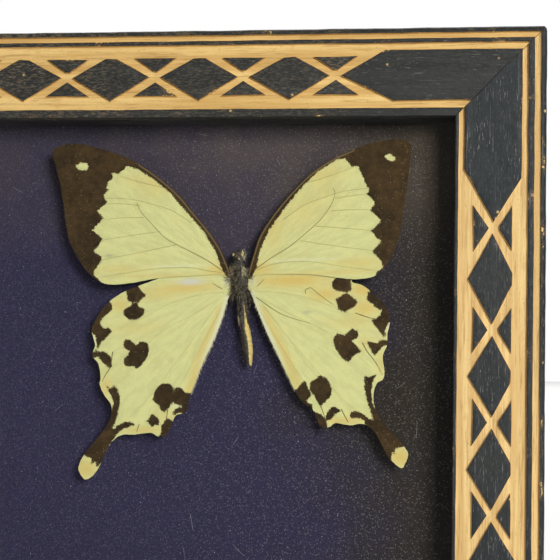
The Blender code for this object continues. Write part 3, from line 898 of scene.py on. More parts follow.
@dataclass(frozen=True)
class WingScales(Finish):
    """Pale yellow wing scales with dark brown marks whose edges are ragged scale by scale."""

    roughness: float = 0.82
    specular: float = 0.12
    sheen: float = 0.02
    pale: Colour = (0.680, 0.650, 0.290)
    ochre: Colour = (0.690, 0.500, 0.150)
    brown: Colour = (0.043, 0.023, 0.006)
    edge_brown: Colour = (0.075, 0.045, 0.017)
    ivory: Colour = (0.74, 0.71, 0.47)
    bare: Colour = (0.62, 0.60, 0.56)
    grey: Colour = (0.33, 0.33, 0.22)
    tan: Colour = (0.20, 0.135, 0.06)
    vein: Colour = (0.24, 0.225, 0.09)
    lint: Colour = (0.42, 0.38, 0.30)

    def dress(self, graph: Graph, shader: Node, output: Node) -> None:
        """Wires the ground colour, the soft tints, the marks and the veins."""
        place = graph.millimetres()
        fan = graph.add("ShaderNodeCombineXYZ")
        graph.feed(fan.inputs[0], graph.kept("fan"))
        graph.feed(fan.inputs[1], graph.times(graph.kept("reach"), 0.12))
        rays = graph.noise(fan.outputs[0], 1.6, 3.0, 0.6)
        scales = graph.noise(place, 5.5, 3.0, 0.7)
        patchy = graph.noise(place, 0.14, 3.0)

        colour = graph.shade(graph.ramp(rays, 0.3, 0.7), self.pale, 0.93, 1.04)
        warm = graph.plus(graph.kept("ochre"), graph.ramp(rays, 0.55, 0.75, 0.0, 0.14))
        warm = graph.plus(warm, graph.ramp(patchy, 0.5, 0.75, 0.0, 0.12))
        colour = graph.blend(graph.math("MINIMUM", warm, 1.0), colour, self.ochre)
        tints = {"ivory": self.ivory, "bare_membrane": self.bare, "smudge": self.grey}
        for name, tint in tints.items():
            colour = graph.blend(graph.kept(name), colour, tint)
        colour = graph.shade(graph.ramp(scales, 0.3, 0.7), colour, 0.93, 1.05)

        torn = graph.swing(place, 1.25, 1.1, 3.0, 0.7)
        sprinkled = graph.swing(place, 4.6, 1.2, 3.0, 0.75)
        dark = graph.plus(graph.kept("dark"), graph.plus(torn, sprinkled))
        brown = graph.blend(graph.ramp(scales, 0.35, 0.75), self.brown, self.edge_brown)
        brown = graph.shade(graph.ramp(patchy, 0.35, 0.65), brown, 0.72, 1.12)
        cloudy = graph.ramp(graph.noise(place, 0.7, 4.0, 0.7), 0.35, 0.65)
        brown = graph.shade(cloudy, brown, 0.72, 1.12)
        rim = graph.kept("costa")
        rib = graph.times(graph.ramp(rim, 0.1, 0.28), graph.ramp(rim, 0.42, 0.62, 0.75, 0.0))
        brown = graph.blend(rib, brown, self.tan)
        colour = graph.blend(graph.ramp(dark, -0.1, 0.12), colour, brown)
        broken = graph.ramp(graph.noise(place, 0.9, 2.0), 0.3, 0.6, 0.4, 0.85)
        colour = graph.lay(colour, graph.kept("line"), broken, self.edge_brown)

        on_pale = graph.ramp(dark, -0.2, 0.2, 1.0, 0.1)
        colour = graph.lay(colour, graph.kept("vein"), on_pale, self.vein)
        lint = graph.specks(place, 1.9, 0.2, 0.3)
        colour = graph.lay(colour, lint, graph.ramp(dark, 0.0, 0.3, 0.05, 0.5), self.lint)
        graph.feed(shader.inputs["Base Color"], colour)
        shader.inputs["Sheen Weight"].default_value = self.sheen
        graph.bump(shader, graph.plus(scales, rays), 0.22, 0.05 * MM)


@dataclass(frozen=True)
class InsectSkin(Finish):
    """The body under its hair: dark olive brown, with one pale yellow stripe."""

    roughness: float = 0.6
    dark: Colour = (0.012, 0.009, 0.007)
    olive: Colour = (0.070, 0.050, 0.026)
    yellow: Colour = (0.72, 0.52, 0.17)
    bloom: Colour = (0.22, 0.19, 0.16)

    def dress(self, graph: Graph, shader: Node, output: Node) -> None:
        """Wires the skin, its pale bloom and the stripe."""
        place = graph.millimetres()
        mottle = graph.noise(place, 1.7, 5.0, 0.7)
        colour = graph.blend(graph.ramp(mottle, 0.36, 0.72), self.dark, self.olive)
        bloom = graph.specks(place, 3.0, 0.3, 0.3)
        colour = graph.lay(colour, bloom, 0.7, self.bloom)
        ragged = graph.swing(place, 2.6, 0.9)
        stripe = graph.ramp(graph.plus(graph.kept("stripe"), ragged), 0.35, 0.6)
        shaded = graph.shade(graph.ramp(mottle, 0.3, 0.7), self.yellow, 0.7, 1.15)
        graph.feed(shader.inputs["Base Color"], graph.blend(stripe, colour, shaded))
        graph.bump(shader, mottle, 0.6, 0.15 * MM)


@dataclass(frozen=True)
class HairTint(Finish):
    """Hair whose colour runs with its mark: 0 near black, then olive, tan and ivory at 1."""

    roughness: float = 0.7
    stops: tuple[Colour, ...] = (
        (0.014, 0.011, 0.009), (0.070, 0.054, 0.034), (0.42, 0.32, 0.17), (0.86, 0.78, 0.50),
    )

    def dress(self, graph: Graph, shader: Node, output: Node) -> None:
        """Wires the tints one into the next."""
        tint = graph.kept("tint")
        steps = len(self.stops) - 1
        colour: Value = self.stops[0]
        for step in range(steps):
            share = graph.ramp(tint, step / steps, (step + 1) / steps)
            colour = graph.blend(share, colour, self.stops[step + 1])
        streak = graph.noise(graph.millimetres(), 4.0, 2.0)
        graph.feed(shader.inputs["Base Color"], graph.shade(streak, colour, 0.6, 1.35))


@dataclass(frozen=True)
class StudioFloor(Finish):
    """The plain pale floor."""

    roughness: float = 0.9
    colour: Colour = (0.93, 0.93, 0.925)

    def dress(self, graph: Graph, shader: Node, output: Node) -> None:
        """One pale colour with the faintest cloud in it."""
        cloud = graph.noise(graph.millimetres(), 0.004, 2.0)
        graph.feed(shader.inputs["Base Color"], graph.shade(cloud, self.colour, 0.985, 1.0))


# --- The carved frame ---


@dataclass(frozen=True)
class Rail:
    """One rail: which way it runs, which way its face widens, and its outer corner."""

    node: str
    along: Vector
    across: Vector
    corner: Vector
    grain: Grain

    def coordinates(self, points: np.ndarray) -> tuple[np.ndarray, np.ndarray, np.ndarray]:
        """Each point's place along the rail, across its face and back from it."""
        offset = points - np.array(self.corner)
        return offset @ np.array(self.along), offset @ np.array(self.across), offset[:, 1]


@dataclass
class CarvedFrame:
    """The four black rails with their carved recesses."""

    worn_edge: float = 0.22 * MM
    mesh_step: float = 1.5 * MM
    carve_depth: float = 0.9 * MM
    hand_wander: float = 0.24 * MM
    hand_wander_size: float = 7 * MM
    mitre_closed_by: float = 0.12 * MM
    field_from: float = 1.25 * MM
    field_to: float = 21.6 * MM
    joint_width: float = 0.1 * MM
    on_plane: float = 0.01 * MM
    sharp_turn: float = 0.5
    farthest_edge: float = 5.0

    def build(self) -> None:
        """Shapes and dresses the rails."""
        low, high = CAD_BOX
        front = low.y
        right, up = Vector((1, 0, 0)), Vector((0, 0, 1))
        rails = (
            Rail("rail_top", right, -up, Vector((low.x, front, high.z)), Grain.ALONG_X),
            Rail("rail_bottom", -right, up, Vector((high.x, front, low.z)), Grain.ALONG_X),
            Rail("rail_right", -up, -right, Vector((high.x, front, high.z)), Grain.ALONG_Z),
            Rail("rail_left", up, right, Vector((low.x, front, low.z)), Grain.ALONG_Z),
        )
        wood = {
            Grain.ALONG_X: PaintedWood("painted_wood_across", grain=Grain.ALONG_X).material(),
            # The upright rails get more light streaks, which partly stand for painted sheen along
            # their vertical grain.
            Grain.ALONG_Z: PaintedWood(
                "painted_wood_upright", grain=Grain.ALONG_Z, scuffs_and_sheen=0.72, scarring=0.12,
                bright=(0.80, 0.585, 0.255), honey=(0.64, 0.42, 0.165),
                paint=(0.0225, 0.0265, 0.0275),
                middle=(low.z + high.z) / 2 / MM, lattice_half=38.0,
            ).material(),
        }
        wander = bpy.data.textures.new("hand_wander", "CLOUDS")
        wander.cloud_type = "COLOR"
        wander.noise_scale = self.hand_wander_size
        wander.noise_depth = 2
        for rail in rails:
            piece = self.shape(rail)
            self.mark(piece, rail)
            piece.modify(
                "DISPLACE", texture=wander, texture_coords="LOCAL", direction="RGB_TO_XYZ",
                strength=self.hand_wander, mid_level=0.5,
            )
            piece.smooth()
            piece.deliver("painted_wood", [wood[rail.grain]], rail.node)

    def shape(self, rail: Rail) -> Workpiece:
        """A rail with eased cut edges, a close mitre and a mesh fine enough to wander.

        Args:
            rail: the rail.

        Returns:
            The rail as a workpiece.
        """
        piece = Workpiece.from_node(f"carved_{rail.node}", rail.node)
        along, across, _ = rail.coordinates(piece.points())
        start = float((along - across).min())
        end = float((along + across).max())
        piece.edit()
        for edge, sign in ((start, -1), (end, 1)):

            def at_mitre(place: Vector, edge: float = edge, sign: int = sign) -> bool:
                """Whether a point lies on this end's mitre."""
                offset = place - rail.corner
                there = offset.dot(rail.along) + sign * offset.dot(rail.across)
                return abs(there - edge) < 2 * self.on_plane

            piece.shift_points(at_mitre, rail.along * (sign * self.mitre_closed_by))

        front = rail.corner.y

        def cut_edge(edge: bmesh.types.BMEdge) -> bool:
            """Whether an edge lies in the face and turns down into a cut."""
            level = all(abs(end.co.y - front) < self.on_plane for end in edge.verts)
            run = edge.verts[1].co - edge.verts[0].co
            mitre = abs(abs(run.x) - abs(run.z)) < 0.01 * run.length
            turns = len(edge.link_faces) == 2 and edge.calc_face_angle(0.0) > self.sharp_turn
            return level and turns and not mitre

        piece.pick_edges(cut_edge)
        bpy.ops.mesh.bevel(
            offset=self.worn_edge, segments=2, profile=0.5, affect="EDGES", clamp_overlap=False
        )
        box = piece.obj.bound_box
        bpy.ops.mesh.select_mode(type="VERT")
        bpy.ops.mesh.select_all(action="SELECT")
        bpy.ops.mesh.quads_convert_to_tris()
        for axis in (0, 2):
            low = min(corner[axis] for corner in box)
            high = max(corner[axis] for corner in box)
            count = round((high - low) / self.mesh_step)
            step = (high - low) / count
            piece.slice_across(axis, [low + step * index for index in range(1, count)])
        piece.done()
        return piece

    def mark(self, piece: Workpiece, rail: Rail) -> None:
        """Keeps how deep each point lies in a recess, and how far it is from a cut edge."""
        points = piece.points()
        along, across, deep = rail.coordinates(points)
        length = along.max() + along.min()
        from_mitre = np.minimum(along - across, length - along - across) - (along - across).min()
        in_field = (across > self.field_from) & (across < self.field_to)
        in_field &= deep < self.carve_depth * 1.4
        in_field &= (from_mitre > self.joint_width) | (deep > self.carve_depth * 0.8)
        piece.keep("bare", np.where(in_field, deep, 0.0) / MM)
        eased = np.flatnonzero((deep > self.on_plane) & (deep < self.worn_edge * 0.9))
        tree = KDTree(len(eased))
        for index in eased:
            tree.insert(points[index], int(index))
        tree.balance()
        reach = np.array([tree.find(point)[2] for point in points])
        piece.keep("edge", np.minimum(reach / MM, self.farthest_edge))


# --- What lies behind the face of the frame ---


@dataclass
class Lining:
    """The glass, fillets, ground, pinning board and back board."""

    fleck_count: int = 2200
    fleck_radius: tuple[float, float] = (0.03 * MM, 0.10 * MM)
    rightwards: float = 0.85
    upwards: float = 0.9
    fibre_count: int = 26
    fibre_radius: float = 0.028 * MM
    fibre_length: tuple[float, float] = (1.2, 4.5)
    fillet_ease: float = 0.25 * MM
    fluff: tuple[Colour, ...] = (
        (0.10, 0.09, 0.09), (0.22, 0.20, 0.19), (0.36, 0.34, 0.33), (0.62, 0.60, 0.58),
    )

    def build(self) -> None:
        """Dresses the sheets and scatters the dust."""
        sheets = {
            "glass_pane": ClearGlass("old_glass"),
            "ground_paper": GroundPaper("ground_paper"),
            "pinning_board": Board("cork", colour=(0.30, 0.18, 0.09), dark=(0.12, 0.06, 0.03)),
            "back_board": Board("hardboard", colour=(0.17, 0.095, 0.045), bits_per_mm=1.6),
        }
        for node, finish in sheets.items():
            dress_node(node, finish.material())
        paint = Paint("fillet_paint", roughness=0.55).material()
        for side in ("top", "bottom", "left", "right"):
            eased_copy(f"fillet_{side}", self.fillet_ease, 30, 35, "fillet_paint", paint)
        self.scatter_dust()

    def scatter_dust(self) -> None:
        """Small flecks and a few fibres settled on the ground paper."""
        rng = random.Random(17)
        low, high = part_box("ground_paper")
        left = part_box("fillet_left")[1].x
        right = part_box("fillet_right")[0].x
        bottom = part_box("fillet_bottom")[1].z
        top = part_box("fillet_top")[0].z
        fleck = Workpiece.from_primitive(
            "fleck", bpy.ops.mesh.primitive_ico_sphere_add, subdivisions=1, radius=1
        )
        fleck.edit()
        bpy.ops.transform.resize(value=(1.0, 0.45, 0.8), center_override=(0, 0, 0))
        fleck.shift_points(lambda place: place.z > 0.5, (0.35, 0, 0.2))
        fleck.done()
        stamp = Stamp(fleck)
        smallest, largest = self.fleck_radius
        for _ in range(self.fleck_count):
            x = left + (right - left) * rng.random() ** self.rightwards
            z = bottom + (top - bottom) * rng.random() ** self.upwards
            radius = smallest + (largest - smallest) * rng.random() ** 3
            spin = Euler((0, rng.uniform(0, math.tau), 0)).to_matrix().to_4x4()
            size = Matrix.Diagonal((radius * rng.uniform(0.8, 1.8), radius, radius, 1))
            place = Matrix.Translation((x, low.y - radius * 0.3, z))
            stamp.press(place @ spin @ size, rng.uniform(0.45, 1))
        dust = stamp.piece("dust_flecks", "tint")

        fibre = Workpiece.from_primitive(
            "fibre", bpy.ops.mesh.primitive_cylinder_add, vertices=4, radius=1, depth=1
        )
        fibre.edit()
        fibre.slice_across(2, [-0.3, -0.1, 0.1, 0.3])
        fibre.shift_points(lambda place: abs(place.z) < 0.15, (3.2, 0, 0))
        fibre.shift_points(lambda place: 0.25 < abs(place.z) < 0.35, (2.1, 0, 0))
        fibre.done()
        threads = Stamp(fibre)
        for _ in range(self.fibre_count):
            place = (rng.uniform(left, right), low.y - 0.05 * MM, rng.uniform(bottom, top))
            spin = Euler((0, rng.uniform(0, math.tau), 0)).to_matrix().to_4x4()
            length = rng.uniform(*self.fibre_length) * MM
            size = Matrix.Diagonal((self.fibre_radius, self.fibre_radius, length, 1))
            threads.press(Matrix.Translation(place) @ spin @ size, rng.uniform(0.3, 0.8))
        dust.take_in(threads.piece("fibres", "tint"))
        dust.smooth(60)
        dust.deliver("ground_paper", [HairTint("dust_fluff", stops=self.fluff).material()])


def dress_node(node: str, material: Material) -> None:
    """Gives a CAD node a material in place of its plain one.

    Args:
        node: the node's name.
        material: what it is given.
    """
    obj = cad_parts[node]
    if not obj.material_slots:
        obj.data.materials.append(material)
    for slot in obj.material_slots:
        slot.material = material
    log.info("%s: dressed as %s", node, material.name)


def eased_copy(
    node: str, ease: float, sharp: float, smooth: float, slot: str, material: Material
) -> None:
    """Makes a copy of a CAD node with its edges eased, which stands for the node.

    Args:
        node: the node's name.
        ease: the width of the bevel.
        sharp: the angle in degrees past which an edge is eased.
        smooth: the angle in degrees under which an edge is shaded smooth.
        slot: the record's material slot.
        material: what it is given.
    """
    piece = Workpiece.from_node(f"eased_{node}", node)
    piece.modify(
        "BEVEL", width=ease, segments=2, limit_method="ANGLE", angle_limit=math.radians(sharp)
    )
    piece.smooth(smooth)
    piece.deliver(slot, [material], node)


@dataclass
class Fixings:
    """The brads, the hanger with its screws, and the pin."""

    ease: float = 0.12 * MM

    def build(self) -> None:
        """Eases and dresses the small metal pieces."""
        steel = OldMetal("old_steel", roughness=0.42).material()
        brass = OldMetal(
            "old_brass", roughness=0.35, bright=(0.62, 0.43, 0.16), tarnish=(0.22, 0.13, 0.05)
        ).material()
        names = [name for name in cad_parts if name.startswith(("brad_", "hanger_"))]
        for node in sorted(names):
            slot, metal = ("brass", brass) if node == "hanger_plate" else ("steel", steel)
            eased_copy(node, self.ease, 40, 50, slot, metal)
        dress_node("mounting_pin", steel)


# --- The butterfly ---


WING_TINTS = ("ochre", "ivory", "bare_membrane", "smudge")


@dataclass(frozen=True)
class SoftTint:
    """A soft spot of one of the wing tints."""

    tint: str
    centre: Point
    reach: Point
    strength: float


@dataclass(frozen=True)
class WingPlan:
    """One wing as it is drawn flat: outline, colour areas, marks and veins, in millimetres."""

    node: str
    side: Side
    lift: float
    plane: float
    outline: Shape
    veins: tuple[Shape, ...]
    bold_veins: tuple[Shape, ...]
    tints: tuple[SoftTint, ...]
    pale_area: Shape = ()
    pale_spots: tuple[Shape, ...] = ()
    marks: tuple[Shape, ...] = ()
    dark_lines: tuple[Shape, ...] = ()
    inner_margin: Shape = ()
    warm_line: Shape = ()


FOREWING_LIFT = math.radians(2.5)
HINDWING_LIFT = math.radians(1.5)
FOREWING_PLANE = -0.62 * MM
HINDWING_PLANE = -0.4 * MM

FOREWING_VEINS: tuple[Shape, ...] = (
    ((17.8, 24.5), (22, 25.5), (26.2, 26.7), (30, 28)),
    ((12, 15.5), (17, 18.8), (21.5, 20.4), (27.5, 22), (33.5, 22.5), (40, 22.5)),
    ((25.2, 20.3), (29, 20.8), (34, 21), (42.5, 20)),
    ((24.3, 17.2), (29, 17.3), (34, 17), (42, 15)),
    ((20, 13.5), (26.5, 12.8), (34.5, 11.8), (41.5, 10.3)),
    ((16, 10), (21.2, 9), (28, 7.8), (34.8, 6.7), (39.5, 5)),
)

LEFT_FOREWING = WingPlan(
    node="forewing_left",
    side=Side.LEFT,
    lift=FOREWING_LIFT,
    plane=FOREWING_PLANE,
    outline=(
        (2.2, 1.2), (2.4, 2.7), (3.2, 5), (4.9, 9), (7.9, 13.7), (11.7, 18.5), (15.5, 23.2),
        (20.5, 27.7), (25, 31), (30, 33.5), (35.5, 35.5), (41.7, 37), (46.2, 36.3), (47.7, 34.8),
        (47, 31.2), (46, 26.7), (45.2, 21.5), (44.7, 16.5), (43.7, 11.7), (41.5, 7), (38.5, 3),
        (35.2, 0.7), (31.5, 0.2), (26.5, 0.7), (21.2, 1.5), (15.2, 1.8), (5.5, 2), (3.5, 1.2),
    ),
    pale_area=(
        (4.5, 3.5), (6.2, 8.5), (9, 13.2), (13, 18), (17.2, 23.2), (21.5, 27), (25.7, 29.7),
        (28.3, 30.7), (29, 30), (30.5, 28.7), (32.4, 29), (32.1, 27.8), (33.2, 26.7), (34, 25.2),
        (33.2, 24.7), (34.7, 23.2), (33.7, 21.5), (36.3, 19.2), (34.7, 17.3), (37.7, 14.4),
        (34.8, 12), (37.4, 9), (35.1, 7), (37.5, 3.8), (37.4, 2.6), (35.2, 0.4), (28, -0.5),
        (2.7, 0.2),
    ),
    pale_spots=(((41.8, 31), (40.5, 31.8), (38.7, 31.7), (38.7, 30.2), (40.2, 30), (41.5, 30.5)),),
    veins=FOREWING_VEINS + (
        ((4.5, 2.5), (8.5, 3.2), (12, 3.9), (16, 4.1), (21, 4), (28.5, 3.2), (35.5, 2.2)),
    ),
    bold_veins=(
        ((4, 2.7), (7.3, 5.2), (11.2, 7.5), (15.5, 9.8), (19, 12), (22.2, 15.5), (24.8, 18.5),
         (26, 21)),
    ),
    tints=(
        SoftTint("ochre", (31, 4.2), (7, 1.3), 0.42),
        SoftTint("ochre", (24, 27), (7, 2.4), 0.32),
        SoftTint("ochre", (5, 3), (4, 2.2), 0.8),
        SoftTint("ochre", (21, 24), (4, 3), 0.25),
        SoftTint("smudge", (33.5, 7.7), (0.9, 0.35), 0.7),
        SoftTint("ochre", (20, 2.1), (10, 0.6), 0.5),
        SoftTint("ivory", (16, 4.6), (9, 0.3), 0.55),
    ),
)
RIGHT_FOREWING = WingPlan(
    node="forewing_right",
    side=Side.RIGHT,
    lift=FOREWING_LIFT,
    plane=FOREWING_PLANE,
    outline=(
        (2.3, 0.9), (2.5, 2.6), (4.0, 7.2), (5.9, 12), (9.8, 17.5), (14.5, 22.7), (19.5, 27.2),
        (25, 30.5), (30, 32.5), (35.2, 34), (41, 34.6), (44, 33.7), (44.8, 32), (44.1, 27.5),
        (43.2, 22), (42.3, 16.5), (41.2, 11), (39.3, 5.7), (36.7, 2), (34, 0.2), (29.5, -0.2),
        (24.7, 0.4), (17.7, 1.4), (8, 1.7), (4.2, 1.5),
    ),
    pale_area=(
        (4.5, 3.2), (5.7, 8), (8.2, 13), (12.5, 18.7), (17, 23.7), (21.5, 27.6), (25.7, 30),
        (28, 30.3), (28.7, 29.3), (29.7, 28), (31.2, 28.4), (31.5, 27.2), (32.7, 24.9),
        (32.7, 24.1), (33.8, 22.3), (33.2, 21.2), (35.3, 18.8), (34, 17), (36.7, 14.2),
        (33.9, 11.8), (36.4, 8.9), (34.2, 6.6), (36.5, 4), (36.8, 2.6), (35.2, 1.5), (35, 0),
        (28.5, -1.5), (2.7, 0.2),
    ),
    pale_spots=(((38.2, 30.7), (39.6, 30.8), (40.7, 29.7), (39.6, 29.2), (38.3, 30)),),
    veins=FOREWING_VEINS + (
        ((5, 3), (8.8, 4.2), (13.2, 4.7), (17.2, 4.7), (21, 4.2), (27.2, 3), (35.7, 1.7)),
    ),
    bold_veins=(
        ((4.5, 3.2), (8.3, 5.7), (13.5, 8.7), (17.8, 12), (21.5, 15.2), (24.2, 18.8),
         (25.2, 21.6), (24.7, 23)),
    ),
    tints=(
        SoftTint("ochre", (31, 4.0), (7, 1.5), 0.55),
        SoftTint("ochre", (22, 27), (8, 2.4), 0.36),
        SoftTint("ochre", (9, 14), (2.8, 6), 0.5),
        SoftTint("ochre", (5, 3), (4, 2), 0.8),
        SoftTint("ochre", (17, 19), (9, 6), 0.28),
        SoftTint("ochre", (23, 1.6), (12, 0.7), 0.55),
        SoftTint("ivory", (16, 5.1), (10, 0.3), 0.6),
    ),
)
LEFT_HINDWING = WingPlan(
    node="hindwing_left",
    side=Side.LEFT,
    lift=HINDWING_LIFT,
    plane=HINDWING_PLANE,
    outline=(
        (1.2, -1.0), (2.4, 1.1), (6.2, 2.4), (14, 3), (19.2, 2), (23.2, 0.7), (26.7, -0.5),
        (30.2, -1.8), (33, -3.5), (35.7, -6), (37.7, -9), (38.6, -11.3), (38, -14), (37.8, -15.5),
        (38.6, -17.8), (37, -20), (36.5, -23.5), (36.8, -25.3), (35.7, -28), (33.8, -31),
        (34.5, -34.7), (37.2, -38.5), (40.5, -42.2), (42.5, -45.5), (42.7, -47.3), (41.2, -49.5),
        (39, -48.5), (37, -45.7), (35.5, -42.5), (33.7, -39.8), (31.2, -38.3), (28, -38.3),
        (24, -37.9), (22, -38.8), (20, -38.7), (18.5, -36.7), (17.3, -33.7), (14.5, -32.6),
        (13.2, -28.2), (10.5, -21.7), (6.2, -13), (3, -4.2),
    ),
    marks=(
        ((29.5, -1.2), (26.7, 0), (25.2, -1.7), (24.2, -2.7), (25.4, -3.7), (26.5, -4.6),
         (29, -4.1), (29.1, -2.7)),
        ((30.3, -7), (29.7, -6), (28.2, -5.3), (27.6, -4.5), (26.7, -4.6), (26.2, -5.7),
         (24.7, -6.2), (25, -7.7), (26.7, -9), (28.7, -8.8), (30, -7.7)),
        ((30.5, -19.2), (29.2, -17.7), (28.8, -16.8), (30.1, -16.2), (30.3, -14.6), (29, -13.8),
         (27.7, -14.9), (27.2, -15.5), (25.7, -14.5), (24.2, -15), (23.7, -17.2), (25, -19.7),
         (27, -21.5), (28, -20.7), (29.5, -21)),
        ((34.3, -3.7), (33, -6), (35.3, -8), (36.3, -9.5), (35.5, -10.8), (34.2, -10.8),
         (33.5, -12), (36.2, -14.7), (37.3, -16.8), (38, -17), (37.3, -15.2), (37.7, -13),
         (38.3, -12.2), (40, -11.7), (39.5, -8.5), (37, -4.7)),
        ((39.2, -17.2), (36.2, -16.8), (34.5, -17.5), (33.5, -19.3), (34, -21.3), (36.2, -19.3),
         (37, -18.3), (39.3, -18.5)),
        ((35, -25.5), (34.2, -26.3), (32.7, -25.7), (32, -27.3), (31.5, -29.5), (32.5, -34),
         (33.7, -36.8), (31.7, -35.5), (29.5, -34.9), (27.7, -35.8), (29, -36.2), (31.5, -37.2),
         (33.2, -39), (35, -41.8), (36.2, -44.5), (38, -46.5), (38.3, -45), (39.8, -46),
         (39.3, -44.3), (41, -43.5), (42, -42.3), (38.5, -37.5), (35.2, -34), (33.3, -30.5),
         (33.7, -28.7), (34.5, -27)),
        ((23, -29.7), (22.5, -27.7), (21.5, -26.2), (20, -25.3), (18.2, -25.8), (17.5, -27.7),
         (18, -30.5), (20.5, -32.8), (21.5, -31)),
        ((17.3, -26.8), (16, -26.5), (14.5, -27.7), (12, -28.5), (13, -33.5), (16.2, -33),
         (17.5, -33.6), (18, -32.8), (17, -31.8), (15.5, -31.3), (17.2, -30.7), (18, -29.5)),
        ((25.3, -35.2), (24.2, -34.2), (23.2, -33.2), (22, -34), (21.5, -34.8), (21.5, -36),
         (22.7, -36), (23.5, -36.5), (24.2, -35.3)),
        ((21, -36.5), (19.8, -34.7), (18.7, -34.5), (17, -36.5), (19, -39.8), (22, -39.8),
         (21, -37.5)),
    ),
    veins=(
        ((4, -2.5), (10, -3), (18, -5), (25, -8.5), (31, -11), (36, -13.5)),
        ((5, -4), (12, -8), (20, -12), (28, -18.5), (33, -23.5)),
        ((6, -6), (12, -14), (19, -23), (26, -31), (31, -35.5)),
        ((5, -7), (9.5, -15), (14, -23), (19.5, -32)),
    ),
    bold_veins=(((4.5, -1.6), (5.8, -0.9), (6.9, 0.0)),),
    dark_lines=(
        ((33.2, -17), (34, -21), (35.3, -23), (36.7, -25.7)),
        ((26.7, -35.7), (27.2, -37), (27.6, -38.8)),
        ((19.2, -32), (19.7, -34.7), (21, -38.8)),
    ),
    inner_margin=((3, -4.2), (6.2, -13), (10.5, -21.7), (13.2, -28.2)),
    warm_line=((4.7, -7), (7.7, -13), (10.6, -19), (12.7, -24.8), (13.8, -28)),
    tints=(
        SoftTint("bare_membrane", (12.7, 0.4), (3, 0.75), 0.95),
        SoftTint("ochre", (13.5, -1.0), (7.5, 1.3), 0.9),
        SoftTint("ochre", (22, -2.7), (6, 1.6), 0.45),
        SoftTint("ochre", (31.2, -5), (2.4, 1.8), 0.75),
        SoftTint("ivory", (3.2, 0.2), (1.1, 1.3), 0.8),
        SoftTint("ochre", (27, -11), (7, 2), 0.3),
        SoftTint("ochre", (35, -25.8), (1.4, 2.2), 0.7),
        SoftTint("ochre", (26, -37.2), (5, 1), 0.65),
        SoftTint("ochre", (20, -34), (3, 2), 0.35),
        SoftTint("ochre", (40.8, -46.8), (2.8, 2.4), 0.8),
        SoftTint("ivory", (38.1, -14), (0.5, 1.4), 0.9),
        SoftTint("ivory", (16.5, -31.2), (1.5, 0.6), 0.6),
        SoftTint("smudge", (18, -19.2), (0.8, 0.6), 0.22),
    ),
)
